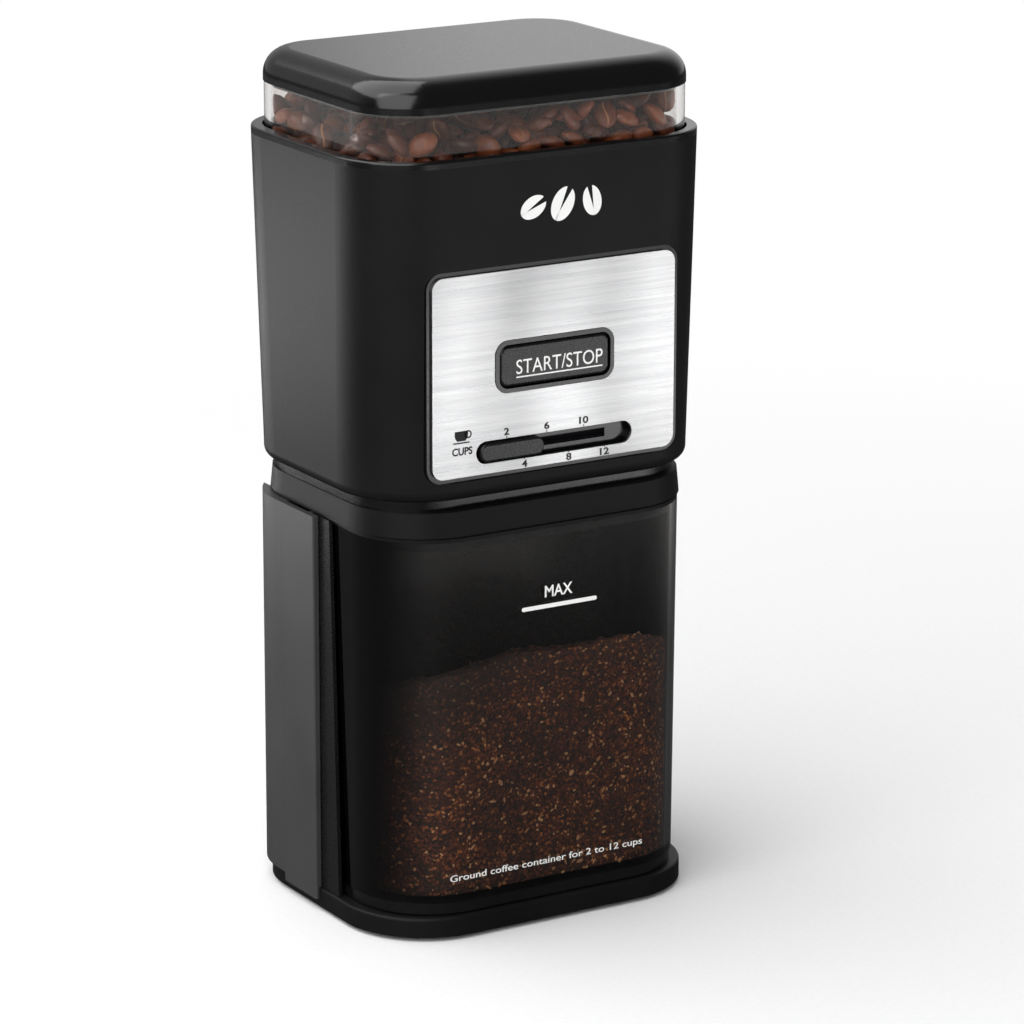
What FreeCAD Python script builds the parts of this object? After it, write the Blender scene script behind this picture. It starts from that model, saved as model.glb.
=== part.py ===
"""Burr coffee grinder: a tower with a bean hopper on a control head, a motor column
behind, and a clear grounds container that slides into the bay below the head.

Frame: +Z up, front towards -Y, origin at the middle of the footprint on the table.
All sizes are millimetres.
"""
import FreeCAD
import Part
import math
import os
import re

import Sketcher

App = FreeCAD
Vec = App.Vector
doc = App.newDocument("BurrGrinder")

# ---------------------------------------------------------------- driving sizes
SIZES = {
    # base tray and its feet
    "tray_half_width": 62.5, "tray_front": 52.4, "tray_back": 50.8, "tray_radius": 30,
    "foot_gap": 1.4, "tray_top": 8, "tray_skin": 2, "tray_wall": 2.5, "tray_edge": 1,
    "foot_rad": 5.5, "foot_x": 44, "foot_y": 36,
    # motor column behind the container bay
    "column_half_width": 63.8, "column_front": 4.5, "column_back": 52.4,
    "column_radius": 30, "column_bottom": 4, "cover_bottom": 7, "column_top": 136,
    "column_wall": 2, "cover_wall": 2.2, "seam_y": 17, "seam_gap": 0.05, "tray_fit": 0.1,
    "cap_skin": 2, "cap_half_width": 57, "cap_front": 17, "cap_back": 48,
    # liner that guides the container
    "liner_thick": 1.3, "wing_low": 15.9, "wing_high": 11.2, "wing_gap": 0.3,
    # collar and neck between the container bay and the head
    "collar_bottom": 136.3, "collar_top": 144.5, "collar_half_width": 61,
    "collar_depth": 50.5, "collar_taper": 0.8, "collar_radius": 28, "collar_wall": 2.2,
    "plate_thick": 3, "neck_half_width": 59.9, "neck_depth": 45.9, "neck_radius": 25,
    # head shell
    "head_bottom": 148, "shell_top": 256.6, "head_low_half": 64, "head_high_half": 65.6,
    "head_front": 50.4, "head_low_back": 49.8, "head_high_back": 51,
    "head_low_radius": 29, "head_high_radius": 26, "head_wall": 2.4, "head_edge": 3.6,
    "deck_thick": 2.6, "deck_gap": 0.3,
    # rim bezel round the hopper
    "rim_top": 259, "rim_edge": 0.7, "hopper_gap": 0.7, "rim_skirt": 8, "rim_skirt_wall": 1.1,
    "rim_tab": 14,
    # bean hopper and lid
    "hopper_half_width": 61, "hopper_depth": 47, "hopper_radius": 21.6,
    "hopper_wall": 2.6, "hopper_shoulder": 236, "hopper_neck": 209, "hopper_top": 273.3,
    "throat_rad": 25.2, "throat_wall": 2.4,
    "lid_gap": 0.2, "lid_top": 284, "lid_over": 0.3, "lid_edge": 8.5, "lid_wall": 4.3,
    "lid_skin": 2.6, "lid_skirt": 1.4, "lid_skirt_wall": 1.8, "lid_fit": 0.4,
    # control panel
    "panel_half_width": 47.2, "panel_low": 154.3, "panel_high": 223.3, "panel_radius": 5.6,
    "panel_fit": 0.15, "panel_recess": 0.8, "bezel_thick": 3.2, "flange_over": 1.1, "flange_half_width": 33,
    "flange_thick": 1.4, "plate_border": 1.7, "sheet_thick": 1, "plate_radius": 4,
    "button_z": 190.2, "button_half_width": 20.6, "button_half_height": 6.9,
    "button_gap": 0.3, "button_radius": 3, "well_lip": 1.4, "well_proud": 1.3,
    "button_sunk": 0.3, "button_travel": 1.5, "retainer_over": 1.8, "retainer_thick": 1,
    "slot_z": 163, "slot_half_width": 29.4, "slot_half_height": 3.75, "trough_skin": 1,
    "knob_half_width": 11.8, "knob_half_height": 2.9, "knob_proud": 1.2, "knob_travel": 32.8,
    "lever_half": 1.2, "lever_slot": 21, "slot_play": 0.3,
    # control board
    "board_face": 40.6, "board_thick": 1.6, "board_half_width": 44, "board_low": 157,
    "board_high": 214, "post_rad": 2.6, "post_x": 40, "post_low": 161, "post_high": 210,
    "screw_rad": 1.2, "pot_half_width": 30, "pot_half_height": 3.5, "pot_thick": 4.8,
    # drive train
    "press_gap": 0.03,
    "motor_y": 26, "gear_module": 1, "pinion_teeth": 13, "gear_teeth": 39,
    "gear_low": 157, "gear_thick": 8, "gearbox_wall": 2, "gearbox_top": 169,
    "gearbox_play": 1.8, "shaft_rad": 4, "shaft_play": 0.04, "bush_rad": 7,
    "shaft_low": 151.4, "shaft_high": 187.4, "bush_low": 165.8, "bush_high": 172,
    # burr chamber
    "chamber_rad": 25, "chamber_wall": 3, "chamber_floor": 2.5, "chamber_top": 204,
    "hub_low": 174, "hub_thick": 4, "hub_rad": 21.5, "paddle_reach": 24.3, "burr_rad": 20,
    "burr_thick": 6, "lower_bore": 8, "upper_bore": 10, "burr_gap": 0.8, "tooth_depth": 1.6,
    "tooth_count": 20, "carrier_rad": 24.6, "carrier_bore": 12.5, "carrier_high": 199,
    "bail_rad": 17, "bail_wire": 1.1,
    # chute
    "chute_half_width": 11.5, "chute_front": 37.6, "chute_wall": 1.5, "chute_rear": 27,
    "chute_low": 137, "chute_high": 186, "window_low": 172, "window_high": 183.5,
    "window_half": 9,
    # motor
    "can_rad": 21, "can_low": 78, "can_high": 138, "can_wall": 1.4, "motor_shaft_rad": 2.5,
    "motor_shaft_low": 71.5, "motor_shaft_high": 165.6, "end_cap_thick": 5, "bracket_thick": 3.5,
    "armature_rad": 16, "armature_low": 90, "armature_high": 122, "magnet_rad": 17.2,
    "commutator_rad": 6, "commutator_low": 80, "commutator_high": 87,
    # grounds container
    "jar_half_low": 59.2, "jar_half_high": 59.8, "jar_front_low": 50.9, "jar_front_high": 51.4,
    "jar_back": 2.2, "jar_radius": 28, "jar_back_radius": 5, "jar_low": 12.5, "jar_high": 134.8,
    "jar_wall": 2.2, "jar_floor": 2, "jar_foot_inset": 0.5, "foot_clear": 0.15,
    "jar_lid_thick": 1.2, "jar_lid_skirt": 3, "jar_lid_fit": 0.25, "mouth_gap": 2.5,
    # fasteners and cord inlet
    "screw_shank": 1.5, "screw_head": 3, "screw_head_thick": 1.8, "screw_x": 40, "screw_y": 30,
    "cover_post_x": 29, "cover_post_low": 18, "cover_post_high": 126, "cover_post_rad": 3.6,
    "cover_screw_rad": 1.25, "cover_head_rad": 2.8, "cover_head_sunk": 1.1,
    "gland_x": 22, "gland_z": 34, "gland_rad": 4.5, "gland_bore": 3.1, "gland_flange": 6.6,
    "gland_flange_thick": 1.2, "vent_half_width": 1.2, "vent_low": 92, "vent_high": 118,
    "vent_pitch": 6, "vent_count": 7,
}

sheet = doc.addObject("Spreadsheet::Sheet", "Sizes")
for row, (alias, value) in enumerate(SIZES.items(), start=1):
    sheet.set(f"A{row}", alias)
    sheet.set(f"B{row}", str(value))
    sheet.setAlias(f"B{row}", alias)
doc.recompute()

WORD = re.compile(r"[a-z][a-z_]*[a-z]")
NODES = []


def ex(text):
    """An expression written with plain size names, as the document wants it."""
    return WORD.sub(lambda m: "Sizes." + m[0] if m[0] in SIZES else m[0], str(text))


def val(text):
    """The number that an expression gives now."""
    return float(sheet.evalExpression(ex(text)))


def bind(obj, **props):
    for name, text in props.items():
        obj.setExpression(name.replace("__", "."), ex(text))
    return obj


def node(obj, label):
    obj.Label = label
    NODES.append(obj)
    return obj


# ---------------------------------------------------------------- Part primitives
def box(x0, x1, y0, y1, z0, z1):
    b = doc.addObject("Part::Box", "Block")
    return bind(b, Length=f"({x1}) - ({x0})", Width=f"({y1}) - ({y0})", Height=f"({z1}) - ({z0})",
                Placement__Base__x=x0, Placement__Base__y=y0, Placement__Base__z=z0)


def rod(x, y, z0, z1, radius):
    """Upright cylinder."""
    c = doc.addObject("Part::Cylinder", "Rod")
    return bind(c, Radius=radius, Height=f"({z1}) - ({z0})",
                Placement__Base__x=x, Placement__Base__y=y, Placement__Base__z=z0)


def rod_y(x, z, y0, y1, radius):
    """Cylinder along +Y."""
    c = doc.addObject("Part::Cylinder", "RodY")
    c.Placement.Rotation = App.Rotation(Vec(1, 0, 0), -90)
    return bind(c, Radius=radius, Height=f"({y1}) - ({y0})",
                Placement__Base__x=x, Placement__Base__y=y0, Placement__Base__z=z)


def fuse(*shapes):
    f = doc.addObject("Part::MultiFuse", "Joined")
    f.Shapes = list(shapes)
    f.Refine = True
    return f


def group(*shapes):
    """Separate solids that share one node."""
    g = doc.addObject("Part::Compound", "Group")
    g.Links = list(shapes)
    return g


def cut(base, *tools):
    c = doc.addObject("Part::Cut", "Trimmed")
    c.Base = base
    c.Tool = tools[0] if len(tools) == 1 else fuse(*tools)
    return c


def common(a, b):
    c = doc.addObject("Part::Common", "Shared")
    c.Base, c.Tool = a, b
    return c


def tube(x, y, z0, z1, outer, inner):
    return cut(rod(x, y, z0, z1, outer), rod(x, y, f"({z0}) - 1", f"({z1}) + 1", inner))


def corners(x, y):
    """The four (x, y) places of a rectangle of fasteners or feet."""
    return [(f"{sx}({x})", f"{sy}({y})") for sx in ("", "-") for sy in ("", "-")]


# ---------------------------------------------------------------- PartDesign helpers
def new_body():
    return doc.addObject("PartDesign::Body", "Body")


def sketch_on(body, role, offset):
    plane = [f for f in body.Origin.OriginFeatures if f.Role == role][0]
    s = body.newObject("Sketcher::SketchObject", "Outline")
    s.AttachmentSupport = (plane, "")
    s.MapMode = "FlatFace"
    s.AttachmentOffset = App.Placement(Vec(0, 0, val(offset)), App.Rotation())
    return bind(s, AttachmentOffset__Base__z=offset)


def rounded(body, offset, x0, x1, y0, y1, r0, r1, role="XY_Plane"):
    """Rectangle from (x0, y0) to (x1, y1), its corners at y0 of radius r0 and at y1 of radius r1."""
    s = sketch_on(body, role, offset)
    a0, a1, b0, b1, ra, rb = (val(t) for t in (x0, x1, y0, y1, r0, r1))
    right, up = math.pi / 2, Vec(0, 0, 1)

    def line(px, py, qx, qy):
        s.addGeometry(Part.LineSegment(Vec(px, py, 0), Vec(qx, qy, 0)), False)

    def arc(cx, cy, rad, turn):
        circle = Part.Circle(Vec(cx, cy, 0), up, rad)
        s.addGeometry(Part.ArcOfCircle(circle, turn * right, (turn + 1) * right), False)

    line(a0 + ra, b0, a1 - ra, b0)
    arc(a1 - ra, b0 + ra, ra, 3)
    line(a1, b0 + ra, a1, b1 - rb)
    arc(a1 - rb, b1 - rb, rb, 0)
    line(a1 - rb, b1, a0 + rb, b1)
    arc(a0 + rb, b1 - rb, rb, 1)
    line(a0, b1 - rb, a0, b0 + ra)
    arc(a0 + ra, b0 + ra, ra, 2)
    for i in range(8):
        s.addConstraint(Sketcher.Constraint("Tangent", i, 2, (i + 1) % 8, 1))
    for kind, edge in (("Horizontal", 0), ("Horizontal", 4), ("Vertical", 2), ("Vertical", 6)):
        s.addConstraint(Sketcher.Constraint(kind, edge))
    s.addConstraint(Sketcher.Constraint("Equal", 1, 7))
    s.addConstraint(Sketcher.Constraint("Equal", 3, 5))
    sized = [("Radius", (1,), ra, r0), ("Radius", (3,), rb, r1),
             ("DistanceX", (-1, 1, 6, 1), a0, x0), ("DistanceX", (-1, 1, 2, 1), a1, x1),
             ("DistanceY", (-1, 1, 0, 1), b0, y0), ("DistanceY", (-1, 1, 4, 1), b1, y1)]
    for kind, places, number, text in sized:
        index = s.addConstraint(Sketcher.Constraint(kind, *places, number))
        s.setExpression(f"Constraints[{index}]", ex(text))
    return s


def even(body, offset, half, front, back, radius):
    """Rounded rectangle on the level plane at height offset, even about the YZ plane."""
    return rounded(body, offset, f"-({half})", half, f"-({front})", back, radius, radius)


def pad(body, outline, length):
    p = body.newObject("PartDesign::Pad", "Pad")
    p.Profile = outline
    return bind(p, Length=length)


def pocket(body, outline, length, forward=True):
    """Cut along the sketch's normal (upwards on a level sketch), or against it."""
    p = body.newObject("PartDesign::Pocket", "Pocket")
    p.Profile = outline
    p.Reversed = forward
    return bind(p, Length=length)


def loft(body, low, high, kind="PartDesign::AdditiveLoft"):
    p = body.newObject(kind, "Loft")
    p.Profile = low
    p.Sections = [high]
    p.Ruled = True
    return p


def level_edges(shape, z):
    """Names of the edges that lie at height z."""
    found = []
    for i, edge in enumerate(shape.Edges, start=1):
        b = edge.BoundBox
        if abs(b.ZMin - z) < 1e-4 and abs(b.ZMax - z) < 1e-4:
            found.append(f"Edge{i}")
    return found


def fillet(body, base, z, radius):
    """Round the edges of base that lie at height z."""
    doc.recompute()
    f = body.newObject("PartDesign::Fillet", "Round")
    f.Base = (base, level_edges(base.Shape, val(z)))
    return bind(f, Radius=radius)


def slab_y(x0, x1, z0, z1, radius, y0, y1):
    """Upright block with rounded corners, from y0 back to y1."""
    b = new_body()
    s = rounded(b, f"-({y1})", x0, x1, z0, z1, radius, radius, role="XZ_Plane")
    pad(b, s, f"({y1}) - ({y0})")
    return b


# ---------------------------------------------------------------- base
def base():
    b = new_body()
    slab = pad(b, even(b, "foot_gap", "tray_half_width", "tray_front", "tray_back", "tray_radius"),
               "tray_top - foot_gap")
    fillet(b, slab, "tray_top", "tray_edge")
    hollow = even(b, "foot_gap", "tray_half_width - tray_wall", "tray_front - tray_wall",
                  "tray_back - tray_wall", "tray_radius - tray_wall")
    pocket(b, hollow, "tray_top - tray_skin - foot_gap")
    holes = [rod(x, y, 0, "tray_top + 1", "screw_shank + 0.1") for x, y in base_screw_places()]
    node(cut(b, *holes), "base_tray")
    feet = [rod(x, y, 0, "tray_top - tray_skin", "foot_rad") for x, y in corners("foot_x", "foot_y")]
    node(group(*feet), "rubber_feet")


def base_screw_places():
    """Two screws rise into the column shell and two into the rear cover."""
    shell_x = "column_half_width - column_wall - 5"
    cover_y = "tray_back - tray_wall - screw_head - 0.3"
    return [(shell_x, "9"), (f"-({shell_x})", "9"), ("16", cover_y), ("-16", cover_y)]


def base_screws():
    screws = []
    for x, y in base_screw_places():
        head = rod(x, y, "tray_top - tray_skin - screw_head_thick", "tray_top - tray_skin", "screw_head")
        shank = rod(x, y, "tray_top - tray_skin", "tray_top + 12", "screw_shank")
        screws.append(fuse(head, shank))
    node(group(*screws), "base_screws")


# ---------------------------------------------------------------- column
def outer_column(bottom):
    b = new_body()
    s = rounded(b, bottom, "-column_half_width", "column_half_width", "-column_front",
                "column_back", "0.6", "column_radius")
    pad(b, s, f"column_top - ({bottom})")
    return b


def inner_column(bottom, top, wall, front):
    b = new_body()
    s = rounded(b, bottom, f"-(column_half_width - ({wall}))", f"column_half_width - ({wall})", front,
                f"column_back - ({wall})", "0.5", f"column_radius - ({wall})")
    pad(b, s, f"({top}) - ({bottom})")
    return b


def tray_relief():
    b = new_body()
    s = even(b, "0", "tray_half_width + tray_fit", "tray_front + tray_fit", "tray_back + tray_fit",
             "tray_radius + tray_fit")
    pad(b, s, "tray_top + 0.02")
    return b


def cover_post_places():
    return [(sx + "cover_post_x", z) for sx in ("", "-") for z in ("cover_post_low", "cover_post_high")]


def base_boss(x, y):
    """Upright boss that a base screw bites into."""
    outer = rod(x, y, "tray_top + 0.02", "tray_top + 16", "screw_head + 1")
    return cut(outer, rod(x, y, "tray_top - 1", "tray_top + 13", "screw_shank + press_gap"))


def column():
    inside_face = "column_half_width - column_wall"
    keep = box("-80", "80", "-20", "seam_y - seam_gap", "0", "200")
    walls = cut(common(outer_column("column_bottom"), keep),
                inner_column("0", "200", "column_wall", "column_wall"),
                box(f"-({inside_face})", inside_face, "-20", "0", "0", "200"))
    posts = [rod_y(x, z, "column_wall - 0.5", "column_back - cover_wall", "cover_post_rad")
             for x, z in cover_post_places()]
    pilots = [rod_y(x, z, "column_back - 16", "column_back + 1", "cover_screw_rad + press_gap")
              for x, z in cover_post_places()]
    bosses = [base_boss(x, y) for x, y in base_screw_places()[:2]]
    webs = [box(x0, x1, "8", "10", "tray_top + 0.02", "tray_top + 16")
            for x0, x1 in ((f"{inside_face} - 2.5", inside_face), (f"-({inside_face})", f"2.5 - ({inside_face})"))]
    port = rod_y("48", "70", "-1", "4", "2")
    solid = cut(fuse(walls, *posts, *bosses, *webs), tray_relief(), port, *pilots)
    node(solid, "column_shell")


def rear_cover():
    keep = box("-80", "80", "seam_y", "80", "cover_bottom", "200")
    shell = cut(common(outer_column("column_bottom"), keep),
                inner_column("0", "column_top - cap_skin", "cover_wall", "column_wall"),
                box("-cap_half_width", "cap_half_width", "cap_front - 1", "cap_back", "column_top - 5",
                    "column_top + 1"))
    bosses = [base_boss(x, y) for x, y in base_screw_places()[2:]]
    bosses += [box(f"{x} - 1.2", f"{x} + 1.2", "column_back - cover_wall - 2.5", "column_back - cover_wall + 0.5",
                   "tray_top + 0.02", "tray_top + 16") for x in ("16", "-16")]
    holes = [rod_y(x, z, "column_back - cover_wall - 0.01", "column_back + 1", "cover_screw_rad + 0.1")
             for x, z in cover_post_places()]
    sinks = [rod_y(x, z, "column_back - cover_head_sunk", "column_back + 1", "cover_head_rad + 0.1")
             for x, z in cover_post_places()]
    inlet = rod_y("gland_x", "gland_z", "column_back - cover_wall - 1", "column_back + 1",
                  "gland_rad + press_gap")
    seat = rod_y("gland_x", "gland_z", "column_back - gland_flange_thick", "column_back + 1",
                 "gland_flange + press_gap")
    vents = []
    for i in range(SIZES["vent_count"]):
        x = f"({i} - (vent_count - 1) / 2) * vent_pitch"
        vents.append(slab_y(f"{x} - vent_half_width", f"{x} + vent_half_width", "vent_low", "vent_high",
                            "vent_half_width - 0.01", "column_back - cover_wall - 1", "column_back + 1"))
    node(cut(fuse(shell, *bosses), tray_relief(), inlet, seat, *holes, *sinks, *vents), "rear_cover")
    screws = []
    for x, z in cover_post_places():
        head = rod_y(x, z, "column_back - cover_head_sunk", "column_back", "cover_head_rad")
        shank = rod_y(x, z, "column_back - 15", "column_back - cover_head_sunk", "cover_screw_rad")
        slots = [box(f"{x} - {a}", f"{x} + {a}", "column_back - 0.7", "column_back + 1", f"{z} - {b}",
                     f"{z} + {b}") for a, b in ((1.6, 0.35), (0.35, 1.6))]
        screws.append(cut(fuse(head, shank), *slots))
    node(group(*screws), "rear_cover_screws")


def liner():
    """Black liner of the container bay: a back plate and two slanted side wings."""
    half = "column_half_width - column_wall - wing_gap"
    top, low = "column_top", "tray_top + foot_clear"
    plate = box(f"-({half})", half, "-liner_thick", "0", low, top)
    wings = []
    for side in (-1, 1):
        b = new_body()
        x_low = half + " - liner_thick" if side > 0 else f"-({half})"
        s = sketch_on(b, "YZ_Plane", x_low)
        pts = [("0", low), ("-wing_low", low), ("-wing_high", top), ("0", top)]
        spots = [Vec(val(y), val(z), 0) for y, z in pts]
        for i in range(4):
            s.addGeometry(Part.LineSegment(spots[i], spots[(i + 1) % 4]), False)
        for i in range(4):
            s.addConstraint(Sketcher.Constraint("Coincident", i, 2, (i + 1) % 4, 1))
        for i, (y, z) in enumerate(pts):
            for kind, text in (("DistanceX", y), ("DistanceY", z)):
                n = s.addConstraint(Sketcher.Constraint(kind, -1, 1, i, 1, val(text)))
                s.setExpression(f"Constraints[{n}]", ex(text))
        pad(b, s, "liner_thick")
        wings.append(b)
    port = rod_y("48", "70", "-liner_thick - 1", "1", "2")
    node(cut(fuse(plate, *wings), port), "cradle_liner")


# ---------------------------------------------------------------- collar and neck
def head_screw_holes():
    return [rod(x, y, "130", "160", "screw_shank + press_gap") for x, y in corners("screw_x", "screw_y")]


def chute_hole(low, high, play=0.3):
    half = f"chute_half_width + {play}"
    return box(f"-({half})", half, f"-chute_front - {play}", f"-chute_rear + {play}", low, high)


def collar():
    b = new_body()
    depth, high = "collar_depth", "collar_depth - collar_taper"
    loft(b, even(b, "collar_bottom", "collar_half_width", depth, depth, "collar_radius"),
         even(b, "collar_top", "collar_half_width - collar_taper", high, high, "collar_radius - collar_taper"))
    inner = f"{depth} - collar_taper - collar_wall"
    room = even(b, "collar_bottom", "collar_half_width - collar_taper - collar_wall", inner, inner,
                "collar_radius - collar_wall")
    pocket(b, room, "collar_top - plate_thick - collar_bottom")
    shaft_hole = rod("0", "motor_y", "130", "160", "motor_shaft_rad + 6")
    node(cut(b, chute_hole("130", "160"), shaft_hole, *head_screw_holes()), "collar_ring")
    n = new_body()
    pad(n, even(n, "collar_top", "neck_half_width", "neck_depth", "neck_depth", "neck_radius"),
        "head_bottom - collar_top")
    node(cut(n, chute_hole("130", "160"), rod("0", "motor_y", "130", "160", "motor_shaft_rad + 6"),
             *head_screw_holes()), "neck_plate")


# ---------------------------------------------------------------- head
def head():
    b = new_body()
    foot = ("head_low_half", "head_front", "head_low_back", "head_low_radius")
    fillet(b, pad(b, even(b, "head_bottom", *foot), "head_edge + 1"), "head_bottom", "head_edge")
    high = even(b, "shell_top", "head_high_half", "head_front", "head_high_back", "head_high_radius")
    loft(b, even(b, "head_bottom + head_edge + 1", *foot), high)
    t = "head_wall"
    inner_low = even(b, f"head_bottom + {t}", f"head_low_half - {t}", f"head_front - {t}",
                     f"head_low_back - {t}", f"head_low_radius - {t}")
    inner_high = even(b, "shell_top", f"head_high_half - {t}", f"head_front - {t}",
                      f"head_high_back - {t}", f"head_high_radius - {t}")
    loft(b, inner_low, inner_high, "PartDesign::SubtractiveLoft")
    window = slab_y("-panel_half_width", "panel_half_width", "panel_low", "panel_high", "panel_radius",
                    "-head_front - 3", "-head_front + head_wall + 5")
    shaft_hole = rod("0", "motor_y", "130", "160", "motor_shaft_rad + 6")
    node(cut(b, window, chute_hole("130", "160"), shaft_hole, *head_screw_holes()), "head_shell")

    d = new_body()
    gap = "(head_wall + deck_gap)"
    pad(d, even(d, f"head_bottom + {t}", f"head_low_half - {gap}", f"head_front - {gap}",
                f"head_low_back - {gap}", f"head_low_radius - {gap}"), "deck_thick")
    bush_seat = rod("0", "0", "130", "shaft_low + 10", "shaft_rad + shaft_play")
    boss = rod("0", "0", f"head_bottom + {t}", "gear_low - 0.8", "bush_rad")
    node(cut(fuse(d, boss), chute_hole("130", "160"), rod("0", "motor_y", "130", "160", "motor_shaft_rad + 6"),
             bush_seat, *head_screw_holes()), "chassis_deck")

    screws = []
    for x, y in corners("screw_x", "screw_y"):
        plate = "collar_top - plate_thick"
        shank = rod(x, y, plate, "head_bottom + head_wall + deck_thick", "screw_shank")
        screws.append(fuse(rod(x, y, f"{plate} - screw_head_thick", plate, "screw_head"), shank))
    node(group(*screws), "head_screws")


def rim_bezel():
    """Glossy ring that caps the head shell and frames the hopper."""
    b = new_body()
    ring = pad(b, even(b, "shell_top", "head_high_half", "head_front", "head_high_back",
                       "head_high_radius"), "rim_top - shell_top")
    fillet(b, ring, "rim_top", "rim_edge")
    half, depth = "hopper_half_width + hopper_gap", "hopper_depth + hopper_gap"
    hole = even(b, "shell_top", half, depth, depth, "hopper_radius + hopper_gap")
    pocket(b, hole, "rim_top - shell_top + 1")
    tabs = [box(x0, x1, "-rim_tab", "rim_tab", "shell_top - rim_skirt", "shell_top + 0.1")
            for x0, x1 in ((half, f"{half} + rim_skirt_wall"), (f"-({half}) - rim_skirt_wall", f"-({half})"))]
    node(fuse(b, *tabs), "rim_bezel")


# ---------------------------------------------------------------- hopper and lid
def hopper():
    b = new_body()
    rim = ("hopper_half_width", "hopper_depth", "hopper_depth", "hopper_radius")
    neck = "throat_rad + throat_wall"
    pad(b, even(b, "hopper_shoulder", *rim), "hopper_top - hopper_shoulder")
    loft(b, even(b, "hopper_neck", neck, neck, neck, f"{neck} - 0.1"), even(b, "hopper_shoulder", *rim))
    foot = rod("0", "0", "chamber_top", "hopper_neck", neck)
    c = new_body()
    t = "hopper_wall"
    inner = (f"hopper_half_width - {t}", f"hopper_depth - {t}", f"hopper_depth - {t}", f"hopper_radius - {t}")
    pad(c, even(c, "hopper_shoulder", *inner), "hopper_top - hopper_shoulder + 1")
    bore = ("throat_rad", "throat_rad", "throat_rad", "throat_rad - 0.1")
    loft(c, even(c, "hopper_neck", *bore), even(c, "hopper_shoulder", *inner))
    bore_hole = rod("0", "0", "chamber_top - 1", "hopper_neck + 0.5", "throat_rad")
    node(cut(fuse(b, foot), c, bore_hole), "bean_hopper")


def lid():
    b = new_body()
    low = "hopper_top + lid_gap"
    half, depth = "hopper_half_width + lid_over", "hopper_depth + lid_over"
    block = pad(b, even(b, low, half, depth, depth, "hopper_radius + lid_over"), f"lid_top - ({low})")
    fillet(b, block, "lid_top", "lid_edge")
    w = "lid_wall"
    pocket(b, even(b, low, f"{half} - {w}", f"{depth} - {w}", f"{depth} - {w}", f"hopper_radius - {w}"),
           f"lid_top - lid_skin - ({low})")
    s = new_body()
    t = "hopper_wall + lid_fit"
    ring = f"{t} + lid_skirt_wall"
    pad(s, even(s, f"{low} - lid_skirt", f"hopper_half_width - ({t})", f"hopper_depth - ({t})",
                f"hopper_depth - ({t})", f"hopper_radius - ({t})"), "lid_skirt + 1")
    pocket(s, even(s, f"{low} - lid_skirt", f"hopper_half_width - ({ring})", f"hopper_depth - ({ring})",
                   f"hopper_depth - ({ring})", f"hopper_radius - ({ring})"), "lid_skirt + 2")
    node(fuse(b, s), "hopper_lid")


# ---------------------------------------------------------------- control panel
FACE = "(head_front - panel_recess)"
BEZEL_BACK = f"({FACE} - bezel_thick)"


def button_hole(grow, y0, y1):
    g = f"({grow})"
    return slab_y(f"-button_half_width - {g}", f"button_half_width + {g}",
                  f"button_z - button_half_height - {g}", f"button_z + button_half_height + {g}",
                  f"button_radius + {g}", y0, y1)


def slot_hole(grow, y0, y1):
    g = f"({grow})"
    return slab_y(f"-slot_half_width - {g}", f"slot_half_width + {g}", f"slot_z - slot_half_height - {g}",
                  f"slot_z + slot_half_height + {g}", f"slot_half_height + {g} - 0.02", y0, y1)


def panel():
    fit = "panel_fit"
    block = slab_y(f"-panel_half_width + {fit}", f"panel_half_width - {fit}", f"panel_low + {fit}",
                   f"panel_high - {fit}", f"panel_radius - {fit}", f"-{FACE}", f"-{BEZEL_BACK}")
    flange = box("-flange_half_width", "flange_half_width", f"-{BEZEL_BACK} - flange_thick",
                 f"-{BEZEL_BACK}", "panel_low - flange_over", "panel_high + flange_over")
    lip = button_hole("button_gap + well_lip", f"-{FACE} - well_proud", f"-{FACE}")
    posts = [rod_y(sx + "post_x", z, f"-{BEZEL_BACK} - 0.5", "-board_face", "post_rad")
             for sx in ("", "-") for z in ("post_low", "post_high")]
    pilots = [rod_y(sx + "post_x", z, f"-{BEZEL_BACK}", "-board_face + 1", "screw_rad + press_gap")
              for sx in ("", "-") for z in ("post_low", "post_high")]
    trough = slot_hole("0", f"-{FACE} - 3", f"-{BEZEL_BACK} - trough_skin")
    lever_way = box("-lever_slot", "lever_slot", f"-{FACE} - 3", f"-{BEZEL_BACK} + 1",
                    "slot_z - lever_half - slot_play", "slot_z + lever_half + slot_play")
    well = button_hole("button_gap", f"-{FACE} - 5", f"-{BEZEL_BACK} + 1")
    node(cut(fuse(block, flange, lip, *posts), trough, lever_way, well, *pilots), "control_bezel")

    m = "plate_border"
    steel = slab_y(f"-panel_half_width + {m}", f"panel_half_width - {m}", f"panel_low + {m}",
                   f"panel_high - {m}", "plate_radius", f"-{FACE} - sheet_thick", f"-{FACE}")
    node(cut(steel, button_hole("button_gap + well_lip + 0.1", f"-{FACE} - 5", f"-{FACE} + 1"),
             slot_hole("0", f"-{FACE} - 5", f"-{FACE} + 1")), "control_plate")


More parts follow.
